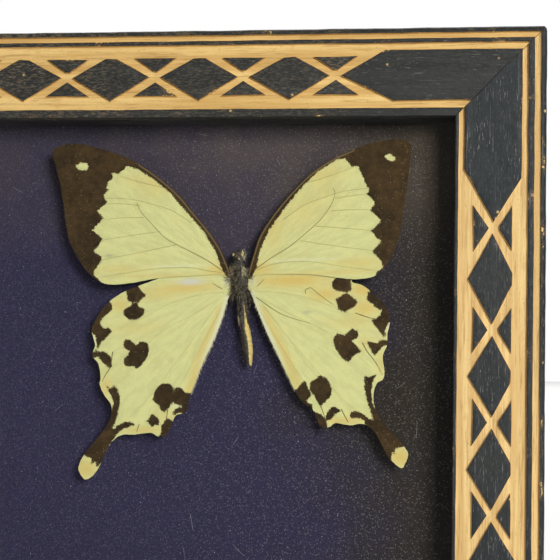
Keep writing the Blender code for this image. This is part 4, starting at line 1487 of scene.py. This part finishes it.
RIGHT_HINDWING = WingPlan(
    node="hindwing_right",
    side=Side.RIGHT,
    lift=HINDWING_LIFT,
    plane=HINDWING_PLANE,
    outline=(
        (1.2, -1.2), (2.4, 1.1), (6, 2.2), (15.7, 2.5), (24.5, 1.4), (28.3, 0.4), (29, -1),
        (31.5, -1.8), (34.7, -4.7), (37, -7), (37.8, -9.5), (38, -11.5), (37.3, -14.2),
        (37.2, -17), (36, -19.5), (36.3, -23), (36, -25.3), (34.3, -26.5), (33.4, -29.3),
        (33.8, -33), (35.7, -36.5), (39, -40.2), (41.3, -43.2), (41.6, -44.8), (40.8, -46.5),
        (40.2, -47.6), (38.8, -47), (36.6, -44.7), (35, -41.5), (33, -38), (30.5, -36.5),
        (27.2, -36.8), (23.7, -36.2), (22, -37.2), (20, -37), (18.5, -33.8), (17.7, -32.2),
        (15.7, -31), (13.7, -28), (10.7, -21.5), (6.7, -12.7), (3, -3.2),
    ),
    marks=(
        ((23.7, -1.5), (24.5, 0.2), (27.2, 1.5), (29.5, 0.7), (28.5, -1), (28.6, -3),
         (26.3, -3.3), (24.5, -2.8)),
        ((24.5, -5), (25.8, -4.5), (26.5, -3.7), (28, -3.9), (29.5, -5.2), (30.1, -6),
         (28.8, -7.3), (26.8, -8.4), (25.2, -7.5), (24.7, -5.7)),
        ((23.7, -16), (23.9, -14.7), (24.7, -13.8), (26.7, -14.1), (27.5, -13.3), (28.3, -12.7),
         (30, -13.2), (29.8, -14.8), (28.5, -15.8), (30.7, -18.2), (29, -19.3), (26.8, -20.9),
         (24.5, -18)),
        ((32.5, -4.7), (33.1, -3.4), (35.3, -4), (38, -6.5), (36.8, -7.3), (35.7, -8.1),
         (33.7, -6.5), (32.6, -5.7)),
        ((36.2, -6.8), (35.8, -9), (34.5, -10.2), (33.5, -10.8), (34.3, -12), (36.2, -14.7),
         (36.8, -14.8), (37, -13), (37.7, -11.5), (39.5, -10.5), (39, -7.5)),
        ((32.2, -16), (34.5, -16.3), (36, -15.4), (38.5, -16.8), (36.3, -17.2), (35, -18.5),
         (34, -19.6), (33.2, -18.2)),
        ((31.2, -25.5), (31.3, -24.5), (32.5, -24.8), (34.3, -24.2), (33.5, -25.7), (33, -28.7),
         (33.5, -32.3), (36.5, -35.6), (41, -40.8), (40, -42.5), (38.5, -42.8), (38.7, -44.2),
         (37.7, -43.7), (37, -46.2), (34, -43.5), (31.5, -37.7), (30.7, -35.5), (28.7, -35),
         (28, -35.2), (27.2, -34), (29, -33.2), (30.5, -33.9), (32.5, -35.4), (33, -35.2),
         (31.7, -30.5), (31.2, -27.3)),
        ((17.5, -28), (17.7, -25.8), (19.2, -24.9), (19.8, -24.2), (21.5, -24.7), (22.5, -26.2),
         (23, -28.8), (21, -31), (19.8, -31.8), (18.7, -29.5)),
        ((12.5, -28.2), (14.3, -27.2), (15, -26.5), (16.2, -25.5), (17, -27.2), (17.7, -29.3),
         (16.5, -30.5), (17.8, -31.5), (17.8, -32.8), (15.2, -32.7), (12.5, -29.8)),
        ((21.2, -34.5), (22, -33), (23.5, -32), (25, -33.2), (23.6, -34), (23.2, -34.8),
         (21.5, -35.5)),
        ((17.2, -33), (19.2, -33.5), (20.7, -34.5), (21.6, -36.5), (21, -38), (18.8, -37.5),
         (17.2, -34.2)),
    ),
    veins=(
        ((4, -2.5), (10, -3), (18, -4.6), (25, -7.6), (31, -10), (36, -12.5)),
        ((5, -4), (12, -8), (20, -12), (28, -17.5), (33, -22.5)),
        ((6, -6), (12, -14), (19, -22.5), (26, -30.5), (31, -34.5)),
        ((5, -7), (9.5, -15), (14, -22.5), (19.5, -31)),
    ),
    bold_veins=(
        ((17, -3.5), (17, -2.5), (17.7, -2.2), (18.5, -2.1), (20.7, -4), (24, -6.5)),
        ((4.2, -4), (7.2, -6.2), (10.2, -8.2), (13.2, -9.5), (18, -11)),
        ((4.7, -1.2), (6.5, 0.5)),
    ),
    dark_lines=(
        ((31, -16.2), (32.2, -18.5), (34.2, -21.2), (36.2, -25.2)),
        ((25.2, -32.7), (26.2, -34.7), (27.3, -37)),
        ((20, -31.7), (20.7, -33.7), (21.6, -37)),
        ((29.5, -8.7), (33, -10), (35, -10.3)),
    ),
    inner_margin=((3, -3.2), (6.7, -12.7), (10.7, -21.5), (13.7, -28)),
    warm_line=((5.7, -7.2), (8.2, -12.3), (11.2, -18.5), (14.2, -26.3)),
    tints=(
        SoftTint("ochre", (13, 0.0), (10, 1.7), 1.0),
        SoftTint("ivory", (3.2, 0.0), (1.1, 1.2), 0.8),
        SoftTint("ochre", (22, -3.8), (4.2, 1.8), 0.9),
        SoftTint("ochre", (31.5, -2.8), (3.0, 1.7), 1.0),
        SoftTint("ochre", (32, -7.5), (3.2, 1.9), 0.9),
        SoftTint("ochre", (28, -11), (6, 1.6), 0.4),
        SoftTint("ochre", (31.5, -16), (1.6, 2.2), 0.4),
        SoftTint("ochre", (35.2, -21), (1, 4), 0.5),
        SoftTint("ochre", (25.5, -35.7), (5.5, 1), 0.75),
        SoftTint("ochre", (39.6, -45), (2.6, 2.4), 0.85),
        SoftTint("ivory", (37.6, -12.3), (0.5, 1.1), 0.9),
        SoftTint("ivory", (37.6, -6.5), (0.5, 0.8), 0.8),
        SoftTint("ivory", (16.8, -31), (1, 0.5), 0.7),
        SoftTint("smudge", (17.2, -8.2), (1.1, 0.3), 0.8),
    ),
)


@dataclass(frozen=True)
class HairPatch:
    """A patch of hair: where its roots lie, how it leans and how long and pale it is."""

    count: int
    centre: Point
    spread: Point
    lean: tuple[float, float, float]
    length: tuple[float, float]
    tint: tuple[float, float]


@dataclass
class Butterfly:
    """The spread butterfly: four wings, a hairy body and the fringe of the hindwings."""

    lean: float = math.radians(2.2)
    wing_step: float = 0.45
    costal_points: int = 9
    wing_thickness: float = 0.12 * MM
    margin_jitter: float = 0.05
    # The relief is a wing's full height, and the heights after it are shares of it
    relief: float = 0.9 * MM
    rest_height: float = 0.30
    arch_height: float = 0.30
    fold_height: float = 0.16
    # How far out the arch ends and how wide a fold is, in millimetres
    wing_reach: float = 48.0
    fold_width: float = 0.9
    # Each ripple's lumps to the millimetre, its height and its place in the noise
    ripples: tuple[tuple[float, float, float], ...] = ((0.11, 0.16, 0.0), (0.4, 0.05, 5.0))
    vein_radius: float = 0.085 * MM
    bold_vein_radius: float = 0.115 * MM
    vein_proud: float = 0.03 * MM
    # How dark the veins are, and how far in millimetres a distance is kept
    bold_vein: float = 0.9
    forewing_vein: float = 0.5
    hindwing_vein: float = 0.13
    farthest: float = 5.0
    pin_gap: float = 0.3 * MM
    off_pin: Vector = Vector((0.35, 0, -0.6)) * MM
    hair_radius: float = 0.05 * MM
    # The body's middle line from head to tail: sideways, up and radius, in millimetres
    body_line: tuple[tuple[float, float, float], ...] = (
        (-0.05, 8.3, 0.4), (-0.05, 8.0, 1.1), (0.0, 7.0, 1.6), (0.0, 6.0, 1.45), (0.0, 4.8, 1.4),
        (0.0, 3.0, 2.2), (0.0, 0.8, 2.5), (0.0, -1.5, 2.35), (0.2, -3.6, 1.75), (0.4, -5.4, 1.25),
        (0.6, -8.0, 1.4), (0.95, -10.5, 1.35), (1.25, -13.0, 1.2), (1.5, -15.5, 1.3),
        (1.75, -18.0, 1.25), (1.9, -20.0, 0.9), (2.0, -21.4, 0.45), (2.0, -21.9, 0.12),
    )
    stripe_line: Shape = (
        (1.1, -6.0), (1.4, -9.5), (1.6, -11.3), (1.9, -12.6), (2.5, -15.3), (2.7, -17.8),
        (2.6, -20.8),
    )
    # Heights up the body with the stripe's half width there, in millimetres
    stripe_widths: Shape = ((-21, 0.7), (-18, 0.85), (-12, 0.7), (-9.5, 0.3), (-6, 0.1))
    stripe_in_front_of: float = 0.4 * MM
    eyes_at: tuple[float, float] = (-1.2, 1.15)
    eye_radius: float = 0.62 * MM
    shag_size: float = 0.7 * MM
    shag_depth: float = 0.45 * MM
    head_spots: tuple[tuple[Point, Point], ...] = (
        ((1.05, 7.3), (0.32, 0.8)), ((-1.35, 7.0), (0.2, 0.4)), ((0.1, 5.9), (0.28, 0.2)),
    )
    hair: tuple[HairPatch, ...] = (
        HairPatch(620, (0, 2.4), (2.3, 2.6), (0.0, -0.3, 0.9), (0.35, 0.9), (0.0, 0.95)),
        HairPatch(620, (0, -1.6), (2.5, 2.4), (0.0, -0.5, 0.8), (0.45, 1.2), (0.0, 0.9)),
        HairPatch(170, (-0.3, 6.3), (1.3, 1.5), (0.0, 0.3, 0.9), (0.3, 0.7), (0.0, 0.9)),
        HairPatch(110, (0, 4.6), (1.5, 1.0), (0.0, -0.2, 0.9), (0.3, 0.8), (0.0, 0.8)),
        HairPatch(46, (0.95, 7.3), (0.3, 1.0), (0.55, -1.0, 0.35), (0.9, 1.5), (0.9, 1.0)),
        HairPatch(26, (0.9, 4.0), (0.5, 0.5), (0.2, -0.6, 0.8), (0.4, 0.8), (0.75, 0.95)),
        HairPatch(90, (-1.8, 3.4), (0.8, 0.9), (-0.3, -0.4, 0.7), (0.5, 1.1), (0.5, 0.95)),
        HairPatch(190, (-2.7, 1.6), (0.9, 1.8), (-0.7, -0.4, 0.4), (0.8, 1.8), (0.05, 0.8)),
        HairPatch(150, (2.6, 2.2), (0.8, 1.9), (0.7, -0.3, 0.4), (0.8, 1.7), (0.0, 0.6)),
        HairPatch(34, (0.9, 3.6), (0.2, 1.0), (0.25, -1.0, 0.42), (1.6, 2.6), (0.88, 1.0)),
        HairPatch(150, (-1.9, -3.2), (0.8, 1.5), (-0.4, -0.9, 0.35), (0.8, 1.9), (0.0, 0.75)),
        HairPatch(150, (2.3, -3.2), (0.8, 1.5), (0.4, -0.9, 0.35), (0.8, 1.9), (0.0, 0.7)),
        HairPatch(260, (0.5, -6.6), (1.3, 2.6), (0.05, -0.8, 0.5), (0.5, 1.3), (0.0, 0.8)),
        HairPatch(160, (0.9, -14.5), (1.0, 4.6), (0.05, -1.0, 0.25), (0.3, 0.8), (0.1, 0.75)),
        HairPatch(10, (-0.6, -8.7), (0.2, 0.8), (0.25, -1.0, 0.1), (2.0, 3.0), (0.7, 0.9)),
    )
    fringe_count: int = 420
    strip_fades: tuple[float, float] = (-24.0, -15.0)

    def __post_init__(self) -> None:
        """Finds the thorax from the pin that holds it."""
        low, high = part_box("mounting_pin")
        chest = max(radius for _, _, radius in self.body_line) * MM
        pin = (low + high) / 2
        thorax = Vector((pin.x, low.y - self.pin_gap - chest, pin.z)) + self.off_pin
        log.info("thorax at %s", [round(part / MM, 2) for part in thorax])
        self.upright = Matrix.Translation(thorax) @ Matrix.Rotation(-self.lean, 4, "Y")

    def build(self) -> None:
        """Makes the wings, the body and all the hair."""
        scales = WingScales("wing_scales").material()
        tint = HairTint("insect_hair").material()
        for plan in (LEFT_HINDWING, RIGHT_HINDWING, LEFT_FOREWING, RIGHT_FOREWING):
            self.build_wing(plan, scales)
        self.build_body(InsectSkin("insect_skin").material())
        self.build_hair(tint)

    def seat(self, plan: WingPlan) -> Matrix:
        """What takes a wing's own plane, with its height towards the glass, to its place."""
        side = plan.side.value
        lay = Matrix(((side, 0, 0, 0), (0, 0, -1, 0), (0, 1, 0, 0), (0, 0, 0, 1)))
        turned = Matrix.Rotation(-side * plan.lift, 4, "Z")
        return self.upright @ turned @ Matrix.Translation((0, plan.plane, 0)) @ lay

    def heights(self, plan: WingPlan, flat: np.ndarray) -> np.ndarray:
        """How high the wing stands at each point, as a share of its relief.

        Args:
            plan: the wing.
            flat: the points in the wing's plane, in millimetres.

        Returns:
            A share from 0 to 1 for each point.
        """
        nearest = gap_to(flat, *plan.veins, *plan.bold_veins)
        folds = self.fold_height * np.exp(-((nearest / self.fold_width) ** 2))
        out = np.hypot(flat[:, 0], flat[:, 1]) / self.wing_reach
        arch = self.arch_height * np.sin(np.clip(out, 0, 1) * math.pi)
        seed = plan.side.value * 3.7 + len(plan.marks)
        height = self.rest_height + arch + folds
        for size, depth, shift in self.ripples:
            ripple = [noise.noise(Vector((x * size, y * size, seed + shift))) for x, y in flat]
            height += depth * np.array(ripple)
        return np.clip(height, 0, 1)

    def build_wing(self, plan: WingPlan, scales: Material) -> None:
        """A wing cut from a fine sheet, with its relief, veins and colour areas.

        Args:
            plan: the wing.
            scales: its material.
        """
        rng = random.Random(plan.node)
        outline = rounded(plan.outline, 5)
        jitter = [[rng.uniform(-1, 1), rng.uniform(-1, 1)] for _ in outline]
        outline += np.array(jitter) * self.margin_jitter
        sheet = self.fine_sheet(plan.node, outline)
        flat = sheet.points()[:, :2] / MM
        sheet.raise_by(self.heights(plan, flat), self.relief, "Z")
        count = len(flat)
        sheet.take_in(self.vein_tubes(plan, outline))

        flat = sheet.points()[:, :2] / MM
        tube = np.arange(len(flat)) >= count
        self.keep_colours(sheet, plan, flat, tube)
        sheet.place(self.seat(plan))
        sheet.smooth(40)
        sheet.obj.name = f"scaled_{plan.node}"
        sheet.deliver("wing", [scales], plan.node)

    def fine_sheet(self, name: str, outline: np.ndarray) -> Workpiece:
        """A thin sheet of small squares, cut to an outline given in millimetres."""
        low, high = outline.min(0) - 1, outline.max(0) + 1
        size = high - low
        across, up = (math.ceil(side / self.wing_step) for side in size)
        sheet = Workpiece.from_primitive(
            name, bpy.ops.mesh.primitive_grid_add, x_subdivisions=across, y_subdivisions=up, size=1
        )
        middle = (low + high) / 2 * MM
        sheet.place(Matrix.Translation((*middle, 0)) @ Matrix.Diagonal((*(size * MM), 1, 1)))
        sheet.modify("SOLIDIFY", thickness=self.wing_thickness, offset=0)
        cutter = Workpiece.from_primitive(
            "outline", bpy.ops.mesh.primitive_circle_add, vertices=len(outline), fill_type="NGON"
        )
        for point, (x, y) in zip(cutter.obj.data.vertices, outline):
            point.co = (x * MM, y * MM, 0)
        cutter.edit()
        bpy.ops.mesh.normals_make_consistent(inside=False)
        cutter.done()
        cutter.modify("SOLIDIFY", thickness=self.wing_thickness * 6, offset=0)
        sheet.modify("BOOLEAN", operation="INTERSECT", object=cutter.obj, solver="EXACT")
        bpy.data.objects.remove(cutter.obj)
        return sheet

    def vein_tubes(self, plan: WingPlan, outline: np.ndarray) -> Workpiece:
        """The wing's veins as fine ribs that taper outwards along its surface."""
        bpy.ops.object.select_all(action="DESELECT")
        bpy.ops.curve.primitive_nurbs_path_add()
        ribs = Workpiece(bpy.context.object)
        curve = ribs.obj.data
        curve.splines.clear()
        curve.bevel_depth = self.bold_vein_radius
        curve.bevel_resolution = 1
        curve.use_fill_caps = True
        share = self.vein_radius / self.bold_vein_radius
        proud = self.wing_thickness / 2 + self.vein_proud
        for veins, radius in ((plan.veins, share), (plan.bold_veins, 1.0), (plan.dark_lines, 1.3)):
            for vein in veins:
                route = rounded(vein, 5, closed=False)
                route = route[depth_inside(route, outline) > 0.4]
                high = self.heights(plan, route) * self.relief + proud
                spline = curve.splines.new("POLY")
                spline.points.add(len(route) - 1)
                for index, (x, y) in enumerate(route):
                    spline.points[index].co = (x * MM, y * MM, high[index], 1)
                    spline.points[index].radius = radius * (1 - 0.5 * index / len(route))
        ribs.pick_alone()
        bpy.ops.object.convert(target="MESH")
        return Workpiece(bpy.context.object)

    def keep_colours(
        self, sheet: Workpiece, plan: WingPlan, flat: np.ndarray, tube: np.ndarray
    ) -> None:
        """Keeps how deep in a dark area each point is, its soft tints and where it lies in the fan.

        Args:
            sheet: the wing.
            plan: its plan.
            flat: its points in the wing's plane, in millimetres.
            tube: which of the points are on veins.
        """
        dark = np.full(len(flat), -self.farthest)
        if plan.pale_area:
            dark = -depth_inside(flat, np.array(plan.pale_area))
        for mark in plan.marks:
            dark = np.maximum(dark, depth_inside(flat, rounded(mark, 3)))
        for spot in plan.pale_spots:
            dark = np.minimum(dark, -depth_inside(flat, rounded(spot, 3)))
        sheet.keep("dark", np.clip(dark, -self.farthest, self.farthest))

        tints = {name: np.zeros(len(flat)) for name in WING_TINTS}
        for soft in plan.tints:
            tints[soft.tint] += soft.strength * soft_spot(flat, soft.centre, soft.reach)
        if plan.inner_margin:
            margin = gap_to(flat, plan.inner_margin)
            fading = np.interp(flat[:, 1], self.strip_fades, (0.0, 1.0))
            tints["ivory"] += np.clip(1.35 - margin, 0, 1) * fading
        if plan.warm_line:
            fold = gap_to(flat, plan.warm_line)
            tints["ochre"] += 0.65 * np.exp(-((np.maximum(fold - 0.3, 0) / 0.9) ** 2))
        for name, values in tints.items():
            sheet.keep(name, np.clip(values, 0, 1))

        costa = np.full(len(flat), self.farthest)
        if plan.pale_area:
            costa = gap_to(flat, plan.outline[: self.costal_points])
        sheet.keep("costa", np.minimum(costa, self.farthest))

        on_line = tube & (gap_to(flat, *plan.dark_lines) < 0.25)
        sheet.keep("line", np.where(on_line, 1.0, 0.0))
        fine = self.hindwing_vein if plan.marks else self.forewing_vein
        bold = gap_to(flat, *plan.bold_veins) < 0.2
        sheet.keep("vein", np.where(tube, np.where(bold, self.bold_vein, fine), 0.0))
        sheet.keep("fan", np.arctan2(flat[:, 1], flat[:, 0]) * 12)
        sheet.keep("reach", np.hypot(flat[:, 0], flat[:, 1]))

    def build_body(self, skin: Material) -> None:
        """Head, thorax and abdomen, drawn out ring by ring from one circle."""
        first = self.body_line[0]
        body = Workpiece.from_primitive(
            "butterfly_trunk", bpy.ops.mesh.primitive_circle_add, vertices=20, fill_type="NGON",
            radius=first[2] * MM, location=(first[0] * MM, 0, first[1] * MM),
        )
        body.edit()
        for before, after in zip(self.body_line, self.body_line[1:]):
            move = Vector(((after[0] - before[0]) * MM, 0, (after[1] - before[1]) * MM))
            bpy.ops.mesh.extrude_region_move(TRANSFORM_OT_translate={"value": move})
            grow = after[2] / before[2]
            centre = (after[0] * MM, 0, after[1] * MM)
            bpy.ops.transform.resize(value=(grow, grow, 1), center_override=centre)
        bpy.ops.mesh.select_all(action="SELECT")
        bpy.ops.mesh.normals_make_consistent(inside=False)
        body.done()
        for sideways in self.eyes_at:
            eye = Workpiece.from_primitive(
                "eye", bpy.ops.mesh.primitive_uv_sphere_add, segments=16, ring_count=10,
                radius=self.eye_radius, location=(sideways * MM, -0.75 * MM, 6.9 * MM),
            )
            body.take_in(eye)
        body.modify("SUBSURF", levels=2, render_levels=2)
        shag = bpy.data.textures.new("shag", "CLOUDS")
        shag.noise_scale = self.shag_size
        shag.noise_depth = 3
        body.modify(
            "DISPLACE", texture=shag, texture_coords="LOCAL", strength=self.shag_depth,
            mid_level=0.5,
        )
        flat = body.points()[:, [0, 2]] / MM
        forward = body.points()[:, 1] < self.stripe_in_front_of
        width = np.interp(flat[:, 1], *zip(*self.stripe_widths))
        stripe = np.clip(1.3 - gap_to(flat, self.stripe_line) / width, 0, 1)
        for centre, reach in self.head_spots:
            stripe += 1.3 * soft_spot(flat, centre, reach)
        body.keep("stripe", np.where(forward, np.clip(stripe, 0, 1), 0))
        body.place(self.upright)
        body.smooth(60)
        body.deliver("insect_body", [skin], "butterfly_body")

    def trunk_height(self, x: float, z: float) -> float:
        """How far in front of the body's middle plane its skin lies at a place, in millimetres."""
        ups = [up for _, up, _ in reversed(self.body_line)]
        sideways = float(np.interp(z, ups, [side for side, _, _ in reversed(self.body_line)]))
        radius = float(np.interp(z, ups, [radius for _, _, radius in reversed(self.body_line)]))
        return math.sqrt(max(radius**2 - (x - sideways) ** 2, 0.0))

    def build_hair(self, tint: Material) -> None:
        """Hair on the body and wing roots, and the pale fringe of the hindwings."""
        rng = random.Random(5)
        hair = Workpiece.from_primitive(
            "hair", bpy.ops.mesh.primitive_cone_add, vertices=3, radius1=1, radius2=0.25, depth=1,
            location=(0, 0, 0.5),
        )
        hair.edit()
        hair.slice_across(2, [0.35, 0.7])
        hair.shift_points(lambda place: place.z > 0.6, (0, 2.2, 0))
        hair.shift_points(lambda place: place.z > 0.9, (0, 3.2, 0))
        hair.done()
        stamp = Stamp(hair)
        for patch in self.hair:
            for _ in range(patch.count):
                x = rng.gauss(patch.centre[0], patch.spread[0] / 2)
                z = rng.gauss(patch.centre[1], patch.spread[1] / 2)
                out = self.trunk_height(x, z)
                root = Vector((x, -max(out - 0.15, 0.45), z)) * MM
                away = Vector((x * 0.35 * bool(out), 0, 0))
                lean = Vector((patch.lean[0], -patch.lean[2], patch.lean[1])) + away
                lean += Vector([rng.uniform(-0.55, 0.55) for _ in range(3)])
                pale = patch.tint[0] + (patch.tint[1] - patch.tint[0]) * rng.random() ** 3
                self.press_hair(stamp, root, lean, rng.uniform(*patch.length), pale, rng)
        for plan in (LEFT_HINDWING, RIGHT_HINDWING):
            side = plan.side.value
            route = rounded(plan.inner_margin, 12, closed=False)
            for _ in range(self.fringe_count):
                at = rng.uniform(1, len(route) - 2)
                index = int(at)
                x, z = route[index] + (route[index + 1] - route[index]) * (at - index)
                sideways = side * (x + rng.uniform(0, 0.5))
                root = Vector((sideways, -0.75 + rng.uniform(-0.2, 0.1), z)) * MM
                lean = Vector((-side * rng.uniform(0.0, 0.35), rng.uniform(-0.25, 0.05), -1))
                length, pale = rng.uniform(0.5, 1.1), rng.uniform(0.8, 1.0)
                self.press_hair(stamp, root, lean, length, pale, rng)
        fur = stamp.piece("butterfly_fur", "tint")
        fur.place(self.upright)
        fur.smooth(80)
        fur.deliver("insect_body", [tint])

    def press_hair(
        self, stamp: Stamp, root: Vector, lean: Vector, length: float, tint: float,
        rng: random.Random,
    ) -> None:
        """Sets one hair at its root, in the body's own upright coordinates."""
        turn = Vector((0, 0, 1)).rotation_difference(lean.normalized()).to_matrix().to_4x4()
        spin = Matrix.Rotation(rng.uniform(0, math.tau), 4, "Z")
        size = Matrix.Diagonal((self.hair_radius, self.hair_radius, length * MM, 1))
        stamp.press(Matrix.Translation(root) @ turn @ spin @ size, tint)


# --- The studio ---


@dataclass(frozen=True)
class Lamp:
    """One square soft light: where it stands, its side and its power."""

    name: str
    place: Vector
    size: float
    power: float


@dataclass
class Studio:
    """A plain pale floor, soft lights and the camera."""

    floor_size: float = 2.3
    floor_front: float = 0.17
    focal_length: float = 83.6
    sensor: float = 36.0
    camera_place: Vector = Vector((71.0 * MM, -330.8 * MM, 96.0 * MM))
    camera_yaw: float = math.radians(-6.91)
    camera_pitch: float = math.radians(2.03)
    camera_roll: float = math.radians(0.77)
    nearest_seen: float = 0.01
    lamps: tuple[Lamp, ...] = (
        Lamp("key_light", Vector((0.33, -0.63, 0.25)), 0.22, 4.45),
        Lamp("fill_light", Vector((-0.7, -0.6, 1.0)), 0.7, 1.2),
        Lamp("back_light", Vector((-0.3, 1.5, 1.6)), 1.6, 50.0),
    )
    sky: float = 0.15
    reflected_sky: float = 0.05

    def build(self) -> None:
        """Sets the floor, the lights, the air and the camera."""
        floor = Workpiece.from_primitive(
            "studio_floor", bpy.ops.mesh.primitive_plane_add, size=self.floor_size,
            location=(0, self.floor_size / 2 - self.floor_front, 0),
        )
        floor.obj.data.materials.append(StudioFloor("studio_floor").material())
        for lamp in self.lamps:
            self.hang(lamp)
        self.air()
        self.camera()

    def hang(self, lamp: Lamp) -> None:
        """Puts a lamp in its place, turned to the middle of the object."""
        bpy.ops.object.select_all(action="DESELECT")
        bpy.ops.object.light_add(type="AREA", location=lamp.place)
        light = bpy.context.object
        light.name = lamp.name
        light.data.energy = lamp.power
        light.data.size = lamp.size
        aim = (CAD_BOX[0] + CAD_BOX[1]) / 2
        light.rotation_euler = (aim - lamp.place).to_track_quat("-Z", "Y").to_euler()

    def air(self) -> None:
        """White to the camera, softer to the object and dim in the glass."""
        world = bpy.data.worlds.new("studio_air")
        bpy.context.scene.world = world
        world.use_nodes = True
        world.node_tree.nodes.clear()
        graph = Graph(world.node_tree)
        path = graph.add("ShaderNodeLightPath").outputs
        lit = graph.ramp(path["Is Glossy Ray"], 0.0, 1.0, self.sky, self.reflected_sky)
        level = graph.math("MAXIMUM", lit, path["Is Camera Ray"])
        background = graph.add("ShaderNodeBackground")
        graph.feed(background.inputs["Strength"], level)
        background.inputs["Color"].default_value = (1, 1, 1, 1)
        output = graph.add("ShaderNodeOutputWorld")
        graph.feed(output.inputs["Surface"], background.outputs[0])

    def camera(self) -> None:
        """The camera, turned by its yaw, pitch and roll from looking along +Y."""
        bpy.ops.object.select_all(action="DESELECT")
        bpy.ops.object.camera_add(location=self.camera_place)
        camera = bpy.context.object
        camera.data.lens = self.focal_length
        camera.data.sensor_width = self.sensor
        camera.data.clip_start = self.nearest_seen
        yaw = Matrix.Rotation(-self.camera_yaw, 3, "Z")
        pitch = Matrix.Rotation(math.pi / 2 + self.camera_pitch, 3, "X")
        roll = Matrix.Rotation(self.camera_roll, 3, "Z")
        camera.rotation_euler = (yaw @ pitch @ roll).to_euler()
        bpy.context.scene.camera = camera
        bpy.context.scene.view_settings.view_transform = "Standard"


def main() -> None:
    """Builds the object and its studio."""
    logging.basicConfig(level=logging.INFO, format="%(message)s")
    for builder in (CarvedFrame(), Lining(), Fixings(), Butterfly(), Studio()):
        builder.build()


if __name__ == "__main__":
    main()
